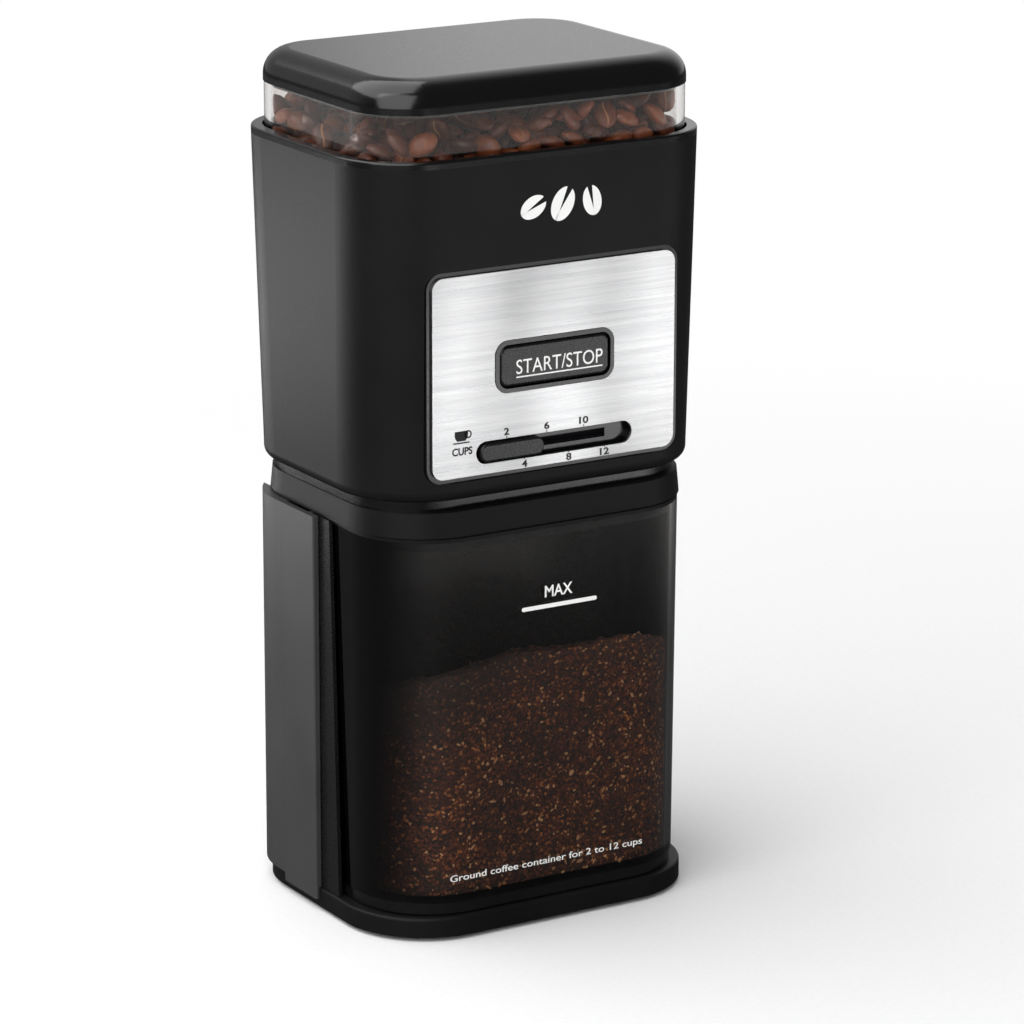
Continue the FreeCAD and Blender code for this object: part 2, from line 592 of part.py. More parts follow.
def button():
    front = f"{FACE} + well_proud - button_sunk"
    cap = button_hole("0", f"-({front})", f"-{BEZEL_BACK} + 0.2")
    doc.recompute()
    edges = [i for i, e in enumerate(cap.Shape.Edges, start=1) if abs(e.BoundBox.YMax + val(front)) < 1e-4]
    soft = doc.addObject("Part::Fillet", "SoftEdge")
    soft.Base = cap
    soft.Edges = [(i, 1.1, 1.1) for i in edges]
    keeper = button_hole("retainer_over", f"-{BEZEL_BACK} + 0.2", f"-{BEZEL_BACK} + 0.2 + retainer_thick")
    stem = box("-3", "3", f"-{BEZEL_BACK} + 0.2", f"-{BEZEL_BACK} + 1.6", "button_z - 3", "button_z + 3")
    node(fuse(soft, keeper, stem), "start_button")
    body = box("-4", "4", "-board_face - 2.2", "-board_face", "button_z - 4", "button_z + 4")
    plunger = rod_y("0", "button_z", f"-{BEZEL_BACK} + 1.6 + button_travel + 0.1", "-board_face - 2", "1.7")
    node(fuse(body, plunger), "start_switch")


def knob():
    """Cups slider, resting at the left end of its travel."""
    x = "(-knob_travel / 2)"
    front, seat = f"{FACE} + sheet_thick + knob_proud", f"{BEZEL_BACK} + trough_skin + slot_play"
    grip = slab_y(f"{x} - knob_half_width", f"{x} + knob_half_width", "slot_z - knob_half_height",
                  "slot_z + knob_half_height", "2.4", f"-({front})", f"-({seat})")
    doc.recompute()
    edges = [i for i, e in enumerate(grip.Shape.Edges, start=1) if abs(e.BoundBox.YMax + val(front)) < 1e-4]
    soft = doc.addObject("Part::Fillet", "SoftEdge")
    soft.Base = grip
    soft.Edges = [(i, 0.6, 0.6) for i in edges]
    lever = box(f"{x} - lever_half", f"{x} + lever_half", f"-({seat}) - 0.5",
                "-board_face - pot_thick + 2.6", "slot_z - lever_half", "slot_z + lever_half")
    node(fuse(soft, lever), "cups_slider")
    case = box("-pot_half_width", "pot_half_width", "-board_face - pot_thick", "-board_face",
               "slot_z - pot_half_height", "slot_z + pot_half_height")
    track = box("-lever_slot - 3", "lever_slot + 3", "-board_face - pot_thick - 1",
                "-board_face - pot_thick + 3.2", "slot_z - lever_half - slot_play",
                "slot_z + lever_half + slot_play")
    node(cut(case, track), "cups_potentiometer")


def board():
    back = "-board_face + board_thick"
    holes = [rod_y(sx + "post_x", z, "-board_face - 1", f"{back} + 1", "screw_rad + press_gap")
             for sx in ("", "-") for z in ("post_low", "post_high")]
    card = box("-board_half_width", "board_half_width", "-board_face", back, "board_low", "board_high")
    node(cut(card, *holes), "control_board")
    screws = []
    for sx in ("", "-"):
        for z in ("post_low", "post_high"):
            x = sx + "post_x"
            screws.append(fuse(rod_y(x, z, "-board_face - 4", back, "screw_rad"),
                               rod_y(x, z, back, f"{back} + 1.4", "screw_rad + 1.2")))
    node(group(*screws), "board_screws")
    relay = box("20", "35", back, f"{back} + 10", "168", "180")
    chip = box("-34", "-22", back, f"{back} + 1.6", "184", "192")
    cans = [rod_y(x, z, back, f"{back} + 8", "3.2") for x, z in (("-26", "170"), ("-34", "170"), ("26", "190"))]
    plug = box("-36", "-24", back, f"{back} + 7", "200", "206")
    node(group(relay, chip, plug, *cans), "board_components")


# ---------------------------------------------------------------- drive train
def involute_gear(teeth, module, thick, bore, addendum, turn):
    """Spur gear with 20 degree involute flanks, standing on the XY plane."""
    pitch = module * teeth / 2
    base_rad = pitch * math.cos(math.radians(20))
    tip, root = pitch + addendum * module, pitch - 1.25 * module
    slack = 0.07 * module
    half = (math.pi * module / 2 - 2 * slack) / (2 * pitch)
    involute = lambda a: math.tan(a) - a
    lean = half + involute(math.radians(20))

    def flank(radius):
        a = math.acos(min(1, base_rad / radius))
        return lean - involute(a)

    def at(radius, angle):
        return Vec(radius * math.cos(angle), radius * math.sin(angle), 0)

    start = max(base_rad, root)
    radii = [start + (tip - start) * i / 6 for i in range(7)]
    edges = []
    for n in range(teeth):
        mid = turn + 2 * math.pi * n / teeth
        nxt = mid + 2 * math.pi / teeth
        rising = [at(r, mid - flank(r)) for r in radii]
        falling = [at(r, mid + flank(r)) for r in reversed(radii)]
        foot_in, foot_out = at(root, mid - flank(start)), at(root, mid + flank(start))
        edges.append(Part.LineSegment(foot_in, rising[0]).toShape())
        for pts in (rising, falling):
            curve = Part.BSplineCurve()
            curve.interpolate(pts)
            edges.append(curve.toShape())
            if pts is rising:
                edges.append(Part.Arc(rising[-1], at(tip, mid), falling[0]).toShape())
        edges.append(Part.LineSegment(falling[-1], foot_out).toShape())
        next_in = at(root, nxt - flank(start))
        edges.append(Part.Arc(foot_out, at(root, (mid + nxt) / 2), next_in).toShape())
    face = Part.Face(Part.Wire(Part.__sortEdges__(edges)))
    return face.extrude(Vec(0, 0, thick)).cut(Part.makeCylinder(bore, thick))


def shaped(shape, label, x="0", y="0", z="0"):
    """A node whose shape is made with Part's own functions, then placed from the sheet."""
    f = doc.addObject("Part::Feature", label)
    f.Shape = shape
    bind(f, Placement__Base__x=x, Placement__Base__y=y, Placement__Base__z=z)
    return node(f, label)


def drive_train():
    module, play = val("gear_module"), "shaft_play"
    big, small = SIZES["gear_teeth"], SIZES["pinion_teeth"]
    # A tooth of the wheel points at the pinion, so the pinion has a space there.
    wheel = involute_gear(big, module, val("gear_thick"), val("shaft_rad + press_gap"), 0.8, math.pi / 2)
    for n in range(6):
        a = math.pi * n / 3
        wheel = wheel.cut(Part.makeCylinder(3.4, val("gear_thick"), Vec(12 * math.cos(a), 12 * math.sin(a), 0)))
    shaped(wheel, "drive_gear", z="gear_low")
    pinion = involute_gear(small, module, val("gear_thick") + 1, val("motor_shaft_rad + press_gap"), 1.0,
                           -math.pi / 2 + math.pi / small)
    shaped(pinion, "motor_pinion", y="motor_y", z="gear_low - 0.5")

    node(rod("0", "0", "shaft_low", "shaft_high", "shaft_rad"), "burr_shaft")
    deck_top = "head_bottom + head_wall + deck_thick"
    wide = "gear_module * (gear_teeth / 2 + 1) + gearbox_play"
    slim = "gear_module * (pinion_teeth / 2 + 1) + gearbox_play"
    w = "gearbox_wall"
    case = fuse(rod("0", "0", deck_top, "gearbox_top", f"{wide} + {w}"),
                rod("0", "motor_y", deck_top, "gearbox_top", f"{slim} + {w}"))
    room = fuse(rod("0", "0", f"{deck_top} - 1", f"gearbox_top - {w} - 1", wide),
                rod("0", "motor_y", f"{deck_top} - 1", f"gearbox_top - {w} - 1", slim))
    bore = rod("0", "0", "150", "180", "bush_rad + press_gap")
    relief = box("-40", "40", "-40", "-chute_rear + 0.05", deck_top, "gearbox_top + 1")
    node(cut(case, room, bore, relief), "gearbox_housing")
    node(tube("0", "0", "bush_low", "bush_high", "bush_rad", f"shaft_rad + {play}"), "shaft_bush")


def ring_with_teeth(outer, inner, thick, up):
    """Burr ring whose cutting face has slanting V grooves."""
    ring = Part.makeCylinder(outer, thick).cut(Part.makeCylinder(inner, thick))
    deep, count = val("tooth_depth"), SIZES["tooth_count"]
    top = thick if up else 0
    sink = -deep if up else deep
    grooves = []
    for i in range(count):
        a = 2 * math.pi * i / count
        wide = 2.4
        profile = Part.makePolygon([Vec(0, -wide / 2, top), Vec(0, wide / 2, top), Vec(0, wide / 2, top + sink),
                                    Vec(0, -wide / 2, top)])
        groove = Part.Face(profile).extrude(Vec(outer + 2, 0, 0))
        groove.translate(Vec(inner * 0.4, 0, 0))
        groove.rotate(Vec(inner * 0.4, 0, 0), Vec(0, 0, 1), 14)
        groove.rotate(Vec(0, 0, 0), Vec(0, 0, 1), math.degrees(a))
        grooves.append(groove)
    return ring.cut(Part.makeCompound(grooves))


def burrs():
    lower_z = "hub_low + hub_thick"
    upper_z = f"{lower_z} + burr_thick + burr_gap"
    shaped(ring_with_teeth(val("burr_rad"), val("lower_bore"), val("burr_thick"), True), "lower_burr", z=lower_z)
    shaped(ring_with_teeth(val("burr_rad"), val("upper_bore"), val("burr_thick"), False), "upper_burr", z=upper_z)
    disc = rod("0", "0", "hub_low", lower_z, "hub_rad")
    spigot = rod("0", "0", "hub_low", f"{lower_z} + burr_thick - tooth_depth", "lower_bore - press_gap")
    arms = [box("-paddle_reach", "paddle_reach", "-1.2", "1.2", "hub_low", f"{lower_z} - 0.5"),
            box("-1.2", "1.2", "-paddle_reach", "paddle_reach", "hub_low", f"{lower_z} - 0.5")]
    node(cut(fuse(disc, spigot, *arms), rod("0", "0", "170", "195", "shaft_rad + press_gap")), "burr_hub")
    nut = cut(rod("0", "0", f"{lower_z} + burr_thick - tooth_depth", f"{lower_z} + burr_thick + 1", "6.4"),
              rod("0", "0", "170", "195", "shaft_rad + press_gap"))
    node(nut, "burr_nut")

    chamber = tube("0", "0", "gearbox_top", "chamber_top", "chamber_rad + chamber_wall", "chamber_rad")
    floor = tube("0", "0", "gearbox_top", "gearbox_top + chamber_floor", "chamber_rad + 1", "bush_rad + press_gap")
    window = box("-window_half", "window_half", "-40", "0", "window_low", "window_high")
    front = box("-40", "40", "-40", "-chute_rear", "160", "210")
    outlet = cut(window, rod("0", "0", "150", "210", "chamber_rad - 2"))
    node(cut(fuse(chamber, floor), outlet, front), "burr_housing")

    ring = tube("0", "0", f"{upper_z} + burr_thick", "carrier_high", "carrier_rad", "carrier_bore")
    skirt = tube("0", "0", f"{upper_z} + 1", f"{upper_z} + burr_thick + 0.5", "carrier_rad", "burr_rad + press_gap")
    ears = [box(f"{x} - 1.4", f"{x} + 1.4", "-2.4", "2.4", "carrier_high - 0.5", "carrier_high + 4")
            for x in ("bail_rad + 3.4", "-bail_rad - 3.4")]
    eyes = doc.addObject("Part::Cylinder", "Eyes")
    eyes.Placement.Rotation = App.Rotation(Vec(0, 1, 0), 90)
    bind(eyes, Radius="bail_wire + 0.08", Height="60", Placement__Base__x="-30",
         Placement__Base__z="carrier_high + 2")
    node(cut(fuse(ring, skirt, *ears), eyes), "burr_carrier")
    bail()


def bail():
    """Wire handle of the burr carrier, folded flat."""
    rad, wire = val("bail_rad"), val("bail_wire")
    tail = 5
    path = Part.Wire([Part.LineSegment(Vec(rad + tail, 0, 0), Vec(rad, 0, 0)).toShape(),
                      Part.Arc(Vec(rad, 0, 0), Vec(0, rad, 0), Vec(-rad, 0, 0)).toShape(),
                      Part.LineSegment(Vec(-rad, 0, 0), Vec(-rad - tail, 0, 0)).toShape()])
    bend = Part.makeTorus(rad, wire, Vec(0, 0, 0), Vec(0, 0, 1), 0, 360, 180)
    arms = [Part.makeCylinder(wire, tail + wire, Vec(s * (rad - wire), 0, 0), Vec(s, 0, 0)) for s in (1, -1)]
    knees = [Part.makeSphere(wire, Vec(s * rad, 0, 0)) for s in (1, -1)]
    solid = bend.fuse(arms + knees).removeSplitter()
    assert abs(path.Length - (math.pi * rad + 2 * tail)) < 1e-6
    shaped(solid, "carrier_handle", z="carrier_high + 2")


def chute():
    half, t = "chute_half_width", "chute_wall"
    outer = box(f"-{half}", half, "-chute_front", "-chute_rear", "chute_low", "chute_high")
    way = box(f"-{half} + {t}", f"{half} - {t}", f"-chute_front + {t}", f"-chute_rear - {t}",
              "chute_low - 1", f"chute_high - {t}")
    mouth = box("-window_half", "window_half", "-chute_rear - 3", "-chute_rear + 1", "window_low", "window_high")
    node(cut(outer, way, mouth), "discharge_chute")


# ---------------------------------------------------------------- motor
def motor():
    y, play = "motor_y", "shaft_play"
    can = cut(rod("0", y, "can_low", "can_high", "can_rad"),
              rod("0", y, "can_low - 1", "can_high - can_wall", "can_rad - can_wall"),
              rod("0", y, "130", "150", "5 + press_gap"))
    vents = [box("-30", "30", f"{y} - 2.5", f"{y} + 2.5", "can_high - 10", "can_high - 4"),
             box("-2.5", "2.5", f"{y} - 30", f"{y} + 30", "can_high - 10", "can_high - 4")]
    node(cut(can, *vents), "motor_can")
    cap = cut(rod("0", y, "can_low - end_cap_thick", "can_low", "can_rad"),
              rod("0", y, "50", "100", "5 + press_gap"))
    tabs = [box(f"{x} - 2", f"{x} + 2", f"{y} + 6", f"{y} + 6.8", "can_low - end_cap_thick - 6",
                "can_low - end_cap_thick + 1") for x in ("10", "-10")]
    node(fuse(cap, *tabs), "motor_end_cap")
    bearings = [tube("0", y, "can_high - can_wall - 2.6", "can_high + 1.2", "5", f"motor_shaft_rad + {play}"),
                tube("0", y, "can_low - end_cap_thick", "can_low", "5", f"motor_shaft_rad + {play}")]
    node(group(*bearings), "motor_bearings")
    sector = box("-30", "30", f"{y} - 9", f"{y} + 9", "armature_low - 3", "armature_high + 3")
    ring = tube("0", y, "armature_low - 2", "armature_high + 2", "can_rad - can_wall - press_gap", "magnet_rad")
    node(common(ring, sector), "motor_magnets")
    brushes = [box(x0, x1, f"{y} - 2", f"{y} + 2", "commutator_low + 1", "commutator_high - 1")
               for x0, x1 in (("commutator_rad + 0.1", "can_rad - can_wall - 0.2"),
                              ("-(can_rad - can_wall - 0.2)", "-commutator_rad - 0.1"))]
    node(group(*brushes), "motor_brushes")

    node(rod("0", y, "motor_shaft_low", "motor_shaft_high", "motor_shaft_rad"), "motor_shaft")
    core = Part.makeCylinder(val("armature_rad"), val("armature_high - armature_low"))
    core = core.cut(Part.makeCylinder(val("motor_shaft_rad + press_gap"), val("armature_high - armature_low")))
    for n in range(7):
        slot = Part.makeBox(9, 1.6, 60, Vec(8, -0.8, -1))
        pocket_hole = Part.makeCylinder(2.2, 60, Vec(10.5, 0, -1))
        for cutter in (slot, pocket_hole):
            cutter.rotate(Vec(0, 0, 0), Vec(0, 0, 1), 360 * n / 7)
            core = core.cut(cutter)
    shaped(core, "motor_armature", y=y, z="armature_low")
    node(tube("0", y, "commutator_low", "commutator_high", "commutator_rad",
              "motor_shaft_rad + press_gap"), "motor_commutator")

    plate = box("-26", "26", f"{y} - 20", f"{y} + 20", "can_high", "can_high + bracket_thick")
    hole = rod("0", y, "130", "150", "motor_shaft_rad + 3.5")
    spots = [(sx + "22", f"{y} {sy} 16") for sx in ("", "-") for sy in ("+", "-")]
    holes = [rod(sx, sy, "130", "150", "1.3 + press_gap") for sx, sy in spots]
    node(cut(plate, hole, *holes), "motor_bracket")
    screws = [fuse(rod(sx, sy, "can_high - 1.6", "can_high", "2.6"),
                   rod(sx, sy, "can_high", "can_high + bracket_thick", "1.3")) for sx, sy in spots]
    node(group(*screws), "motor_screws")


# ---------------------------------------------------------------- column electrics
def electrics():
    card = box("-58", "-35", "6", "7.6", "30", "84")
    posts = [rod_y(x, z, "column_wall", "6", "2.4") for x, z in (("-54", "34"), ("-39", "80"))]
    node(fuse(card, *posts), "power_board")
    parts = [rod_y(x, z, "7.6", y, r) for x, z, y, r in (("-51", "66", "22", "5"), ("-40", "66", "19", "4"))]
    parts += [box("-56", "-42", "7.6", "19", "36", "50"), box("-41", "-36", "7.6", "13", "34", "56")]
    node(group(*parts), "power_components")
    case = box("40", "56", "column_wall", "8.5", "64", "76")
    plunger = rod_y("48", "70", "-jar_back + 0.15", "column_wall + 1", "1.7")
    node(fuse(case, plunger), "container_switch")
    y = "column_back"
    gland = fuse(rod_y("gland_x", "gland_z", f"{y} - cover_wall", y, "gland_rad"),
                 rod_y("gland_x", "gland_z", f"{y} - gland_flange_thick", y, "gland_flange"),
                 rod_y("gland_x", "gland_z", f"{y} - cover_wall - 1.8", f"{y} - cover_wall", "gland_rad + 1"))
    node(cut(gland, rod_y("gland_x", "gland_z", "30", "70", "gland_bore")), "cord_gland")


# ---------------------------------------------------------------- grounds container
def container():
    b = new_body()
    t = "jar_wall"
    low = rounded(b, "jar_low", "-jar_half_low", "jar_half_low", "-jar_front_low", "-jar_back",
                  "jar_radius", "jar_back_radius")
    high = rounded(b, "jar_high", "-jar_half_high", "jar_half_high", "-jar_front_high", "-jar_back",
                   "jar_radius", "jar_back_radius")
    loft(b, low, high)
    in_low = rounded(b, "jar_low + jar_floor", f"-jar_half_low + {t}", f"jar_half_low - {t}",
                     f"-jar_front_low + {t}", f"-jar_back - {t}", f"jar_radius - {t}", f"jar_back_radius - {t}")
    in_high = rounded(b, "jar_high", f"-jar_half_high + {t}", f"jar_half_high - {t}",
                      f"-jar_front_high + {t}", f"-jar_back - {t}", f"jar_radius - {t}", f"jar_back_radius - {t}")
    loft(b, in_low, in_high, "PartDesign::SubtractiveLoft")
    node(b, "container_jar")

    f = new_body()
    i = "jar_foot_inset"
    slab = pad(f, rounded(f, "tray_top + foot_clear", f"-jar_half_low + {i}", f"jar_half_low - {i}",
                          f"-jar_front_low + {i}", f"-jar_back - {i}", f"jar_radius - {i}",
                          f"jar_back_radius - {i}"), "jar_low - tray_top - foot_clear")
    fillet(f, slab, "tray_top + foot_clear", "0.6")
    node(f, "container_foot")

    lid_body = new_body()
    pad(lid_body, rounded(lid_body, "jar_high", "-jar_half_high", "jar_half_high", "-jar_front_high",
                          "-jar_back", "jar_radius", "jar_back_radius"), "jar_lid_thick")
    s = new_body()
    g = f"({t} + jar_lid_fit)"
    pad(s, rounded(s, "jar_high - jar_lid_skirt", f"-jar_half_high + {g}", f"jar_half_high - {g}",
                   f"-jar_front_high + {g}", f"-jar_back - {g}", f"jar_radius - {g}", "jar_back_radius - jar_wall"),
        "jar_lid_skirt")
    w = f"({g} + 1.6)"
    room = rounded(s, "jar_high - jar_lid_skirt", f"-jar_half_high + {w}", f"jar_half_high - {w}",
                   f"-jar_front_high + {w}", f"-jar_back - {w}", f"jar_radius - {w}", "1")
    pocket(s, room, "jar_lid_skirt")
    mouth = slab_z_mouth()
    node(cut(fuse(lid_body, s), mouth), "container_lid")


def slab_z_mouth():
    """Opening of the container lid, a little wider than the chute above it."""
    m = new_body()
    half = "chute_half_width + mouth_gap"
    pad(m, rounded(m, "jar_high - 6", f"-({half})", half, "-chute_front - mouth_gap",
                   "-chute_rear + mouth_gap", "3", "3"), "12")
    return m


# ---------------------------------------------------------------- build, check, write
base()
base_screws()
column()
rear_cover()
liner()
collar()
head()
rim_bezel()
hopper()
lid()
panel()
button()
knob()
board()
drive_train()
burrs()
chute()
motor()
electrics()
container()
doc.recompute()

for obj in doc.Objects:
    if {"Invalid", "Error"} & set(obj.State):
        raise RuntimeError(f"{obj.Name} ({obj.Label}) failed: {obj.State}")
for obj in NODES:
    if obj.Shape.isNull() or not obj.Shape.isValid() or not obj.Shape.Solids:
        raise RuntimeError(f"{obj.Label} has no valid solid")

os.makedirs("parts", exist_ok=True)
for obj in NODES:
    obj.Shape.exportStep(f"parts/{obj.Label}.step")
    print(f"{obj.Label:20s} solids {len(obj.Shape.Solids):2d}  volume {obj.Shape.Volume:10.1f}")
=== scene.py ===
"""Looks of the burr coffee grinder: finishes, prints, beans, ground coffee, studio and camera.

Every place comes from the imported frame, in metres: +Z up, the front panel towards -Y.
"""

import math
import random

import bmesh
import bpy
import numpy as np
from mathutils import Matrix, Vector, noise


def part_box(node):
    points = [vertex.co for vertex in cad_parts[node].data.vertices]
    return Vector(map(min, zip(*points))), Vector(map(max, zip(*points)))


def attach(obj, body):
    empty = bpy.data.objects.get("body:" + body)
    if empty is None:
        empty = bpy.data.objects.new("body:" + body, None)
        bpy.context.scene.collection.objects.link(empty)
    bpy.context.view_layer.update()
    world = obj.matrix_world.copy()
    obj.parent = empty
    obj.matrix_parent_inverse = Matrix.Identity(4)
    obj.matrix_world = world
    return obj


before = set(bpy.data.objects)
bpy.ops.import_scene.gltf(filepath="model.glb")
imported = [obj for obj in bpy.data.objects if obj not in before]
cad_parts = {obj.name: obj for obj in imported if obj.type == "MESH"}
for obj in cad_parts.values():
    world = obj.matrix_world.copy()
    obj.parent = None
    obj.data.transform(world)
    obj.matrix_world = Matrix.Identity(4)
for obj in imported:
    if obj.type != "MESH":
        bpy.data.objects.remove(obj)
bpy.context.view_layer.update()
MM = 0.001


# ---------------------------------------------------------------- shader helpers
def linear(code):
    """sRGB hex colour as a linear RGBA value."""
    parts = [int(code[i:i + 2], 16) / 255 for i in (1, 3, 5)]
    return [c / 12.92 if c <= 0.04045 else ((c + 0.055) / 1.055) ** 2.4 for c in parts] + [1.0]


def add(tree, kind, settings=None, inputs=None):
    """Adds a node, sets its properties, and gives each named input a value or a link."""
    new = tree.nodes.new(kind)
    for name, value in (settings or {}).items():
        setattr(new, name, value)
    for name, value in (inputs or {}).items():
        if isinstance(value, bpy.types.NodeSocket):
            tree.links.new(value, new.inputs[name])
        else:
            new.inputs[name].default_value = value
    return new


def material(name):
    m = bpy.data.materials.new(name)
    m.use_nodes = True
    m.node_tree.nodes.clear()
    return m, m.node_tree


def shade(tree, shader):
    add(tree, "ShaderNodeOutputMaterial", None, {"Surface": shader.outputs[0]})


def grit(tree, size_mm, detail=3.0, stretch=(1, 1, 1)):
    """Noise on Object coordinates whose grains are about size_mm across."""
    place = add(tree, "ShaderNodeTexCoord").outputs["Object"]
    turned = add(tree, "ShaderNodeMapping", None, {"Vector": place, "Scale": stretch}).outputs[0]
    return add(tree, "ShaderNodeTexNoise", None,
               {"Vector": turned, "Scale": 1 / (size_mm * MM), "Detail": detail}).outputs[0]


def between(tree, value, low, high):
    """Spreads the middle of a noise over low to high."""
    return add(tree, "ShaderNodeMapRange", None,
               {"Value": value, "From Min": 0.3, "From Max": 0.7, "To Min": low, "To Max": high}).outputs[0]


def tones(tree, value, stops, steps=False):
    """Colour ramp from (position, hex colour) pairs."""
    ramp = add(tree, "ShaderNodeValToRGB", None, {"Fac": value})
    elements = ramp.color_ramp.elements
    elements.remove(elements[1])
    for i, (spot, code) in enumerate(stops):
        stop = elements[0] if i == 0 else elements.new(spot)
        stop.position, stop.color = spot, linear(code)
    if steps:
        ramp.color_ramp.interpolation = "CONSTANT"
    return ramp.outputs[0]


def two_tone(tree, value, dark, light):
    return tones(tree, value, ((0.3, dark), (0.7, light)))


def relief(tree, height, depth_mm, strength=1.0):
    return add(tree, "ShaderNodeBump", None,
               {"Height": height, "Strength": strength, "Distance": depth_mm * MM}).outputs[0]


# ---------------------------------------------------------------- finishes
def moulded(name, dark, light, rough, grit_mm, depth_mm, coat=0.0, gloss=0.5):
    """Injection-moulded plastic: slow colour drift, and the tool's texture as grit and roughness."""
    m, t = material(name)
    fine = grit(t, grit_mm)
    slow = grit(t, 28.0, 1.0)
    body = add(t, "ShaderNodeBsdfPrincipled", None, {
        "Base Color": two_tone(t, slow, dark, light),
        "Roughness": between(t, fine, rough - 0.04, rough + 0.05),
        "Normal": relief(t, fine, depth_mm),
        "IOR": 1.5,
        "Specular IOR Level": gloss,
        "Coat Weight": coat,
        "Coat Roughness": 0.03})
    shade(t, body)
    return m


def worked_metal(name, dark, light, rough, grit_mm, depth_mm, stretch=(1, 1, 1)):
    """Bare or plated metal: grain along the direction of rolling, turning or casting."""
    m, t = material(name)
    grain = grit(t, grit_mm, 4.0, stretch)
    body = add(t, "ShaderNodeBsdfPrincipled", None, {
        "Base Color": two_tone(t, grain, dark, light),
        "Metallic": 1.0,
        "Roughness": between(t, grain, rough - 0.05, rough + 0.07),
        "Normal": relief(t, grain, depth_mm)})
    shade(t, body)
    return m


def brushed_stainless():
    """Stainless sheet brushed from side to side: hair-fine strands 5 to 20 mm long, with painted reflection
    bands across it.
    """
    m, t = material("brushed_stainless_sheet")
    strands = grit(t, 0.42, 2.0, (0.02, 1, 1))
    bands = grit(t, 1.8, 2.0, (0.03, 1, 1))
    both = add(t, "ShaderNodeMath", {"operation": "MULTIPLY_ADD"},
               {0: bands, 1: 0.35, 2: add(t, "ShaderNodeMath", {"operation": "MULTIPLY"},
                                          {0: strands, 1: 0.65}).outputs[0]}).outputs[0]
    # Painted reflection: slow vertical bands, a little darker and lighter, multiplied into the colour, stand
    # in for the broad reflection bands the brushed sheet shows.
    painted_sheen_bands = two_tone(t, grit(t, 26.0, 0.5, (1, 1, 0.25)), "#D2D2D2", "#FFFFFF")
    colour = add(t, "ShaderNodeMix", {"data_type": "RGBA", "blend_type": "MULTIPLY"},
                 {0: 1.0, 6: two_tone(t, both, "#C4C5C7", "#FAFAFA"), 7: painted_sheen_bands}).outputs[2]
    body = add(t, "ShaderNodeBsdfPrincipled", None, {
        "Base Color": colour,
        "Metallic": 1.0,
        "Roughness": between(t, strands, 0.27, 0.36),
        "Normal": relief(t, strands, 0.006)})
    shade(t, body)
    return m


def smoked_san(name, tint, passed, haze, painted_dark_sides=None):
    """Clear SAN plastic: sharp gloss, lamps reach what it holds, and when a band across x is given in
    millimetres its colour turns near-black from the band outwards: painted shade for the dark seen through
    its side walls.
    """
    m, t = material(name)
    flow = grit(t, 22.0, 1.0)
    colour = linear(tint)
    if painted_dark_sides:
        place = add(t, "ShaderNodeTexCoord").outputs["Object"]
        across = add(t, "ShaderNodeSeparateXYZ", None, {"Vector": place}).outputs[0]
        side = add(t, "ShaderNodeMath", {"operation": "ABSOLUTE"}, {0: across}).outputs[0]
        # Painted shade: towards the side walls the colour goes to near-black #0E0E0F, standing in for the
        # shade seen through them.
        share = add(t, "ShaderNodeMapRange", {"interpolation_type": "SMOOTHSTEP"}, {
            "Value": side, "From Min": painted_dark_sides[0] * MM, "From Max": painted_dark_sides[1] * MM}).outputs[0]
        colour = add(t, "ShaderNodeMix", {"data_type": "RGBA"},
                     {0: share, 6: colour, 7: linear("#0E0E0F")}).outputs[2]
    clear = add(t, "ShaderNodeBsdfPrincipled", None, {
        "Base Color": colour,
        "Roughness": between(t, flow, haze, haze + 0.01),
        "IOR": 1.5,
        "Transmission Weight": 1.0})
    through = add(t, "ShaderNodeBsdfTransparent", None, {"Color": linear(passed)})
    lamp_ray = add(t, "ShaderNodeLightPath").outputs["Is Shadow Ray"]
    shade(t, add(t, "ShaderNodeMixShader", None, {0: lamp_ray, 1: clear.outputs[0], 2: through.outputs[0]}))
    return m


def printed_ink(name, dark, light):
    """Pad-printed ink: a thin matte film with tiny pinholes."""
    m, t = material(name)
    pin = grit(t, 0.25)
    shade(t, add(t, "ShaderNodeBsdfPrincipled", None, {
        "Base Color": two_tone(t, pin, dark, light),
        "Roughness": between(t, pin, 0.5, 0.62),
        "Normal": relief(t, pin, 0.01)}))
    return m


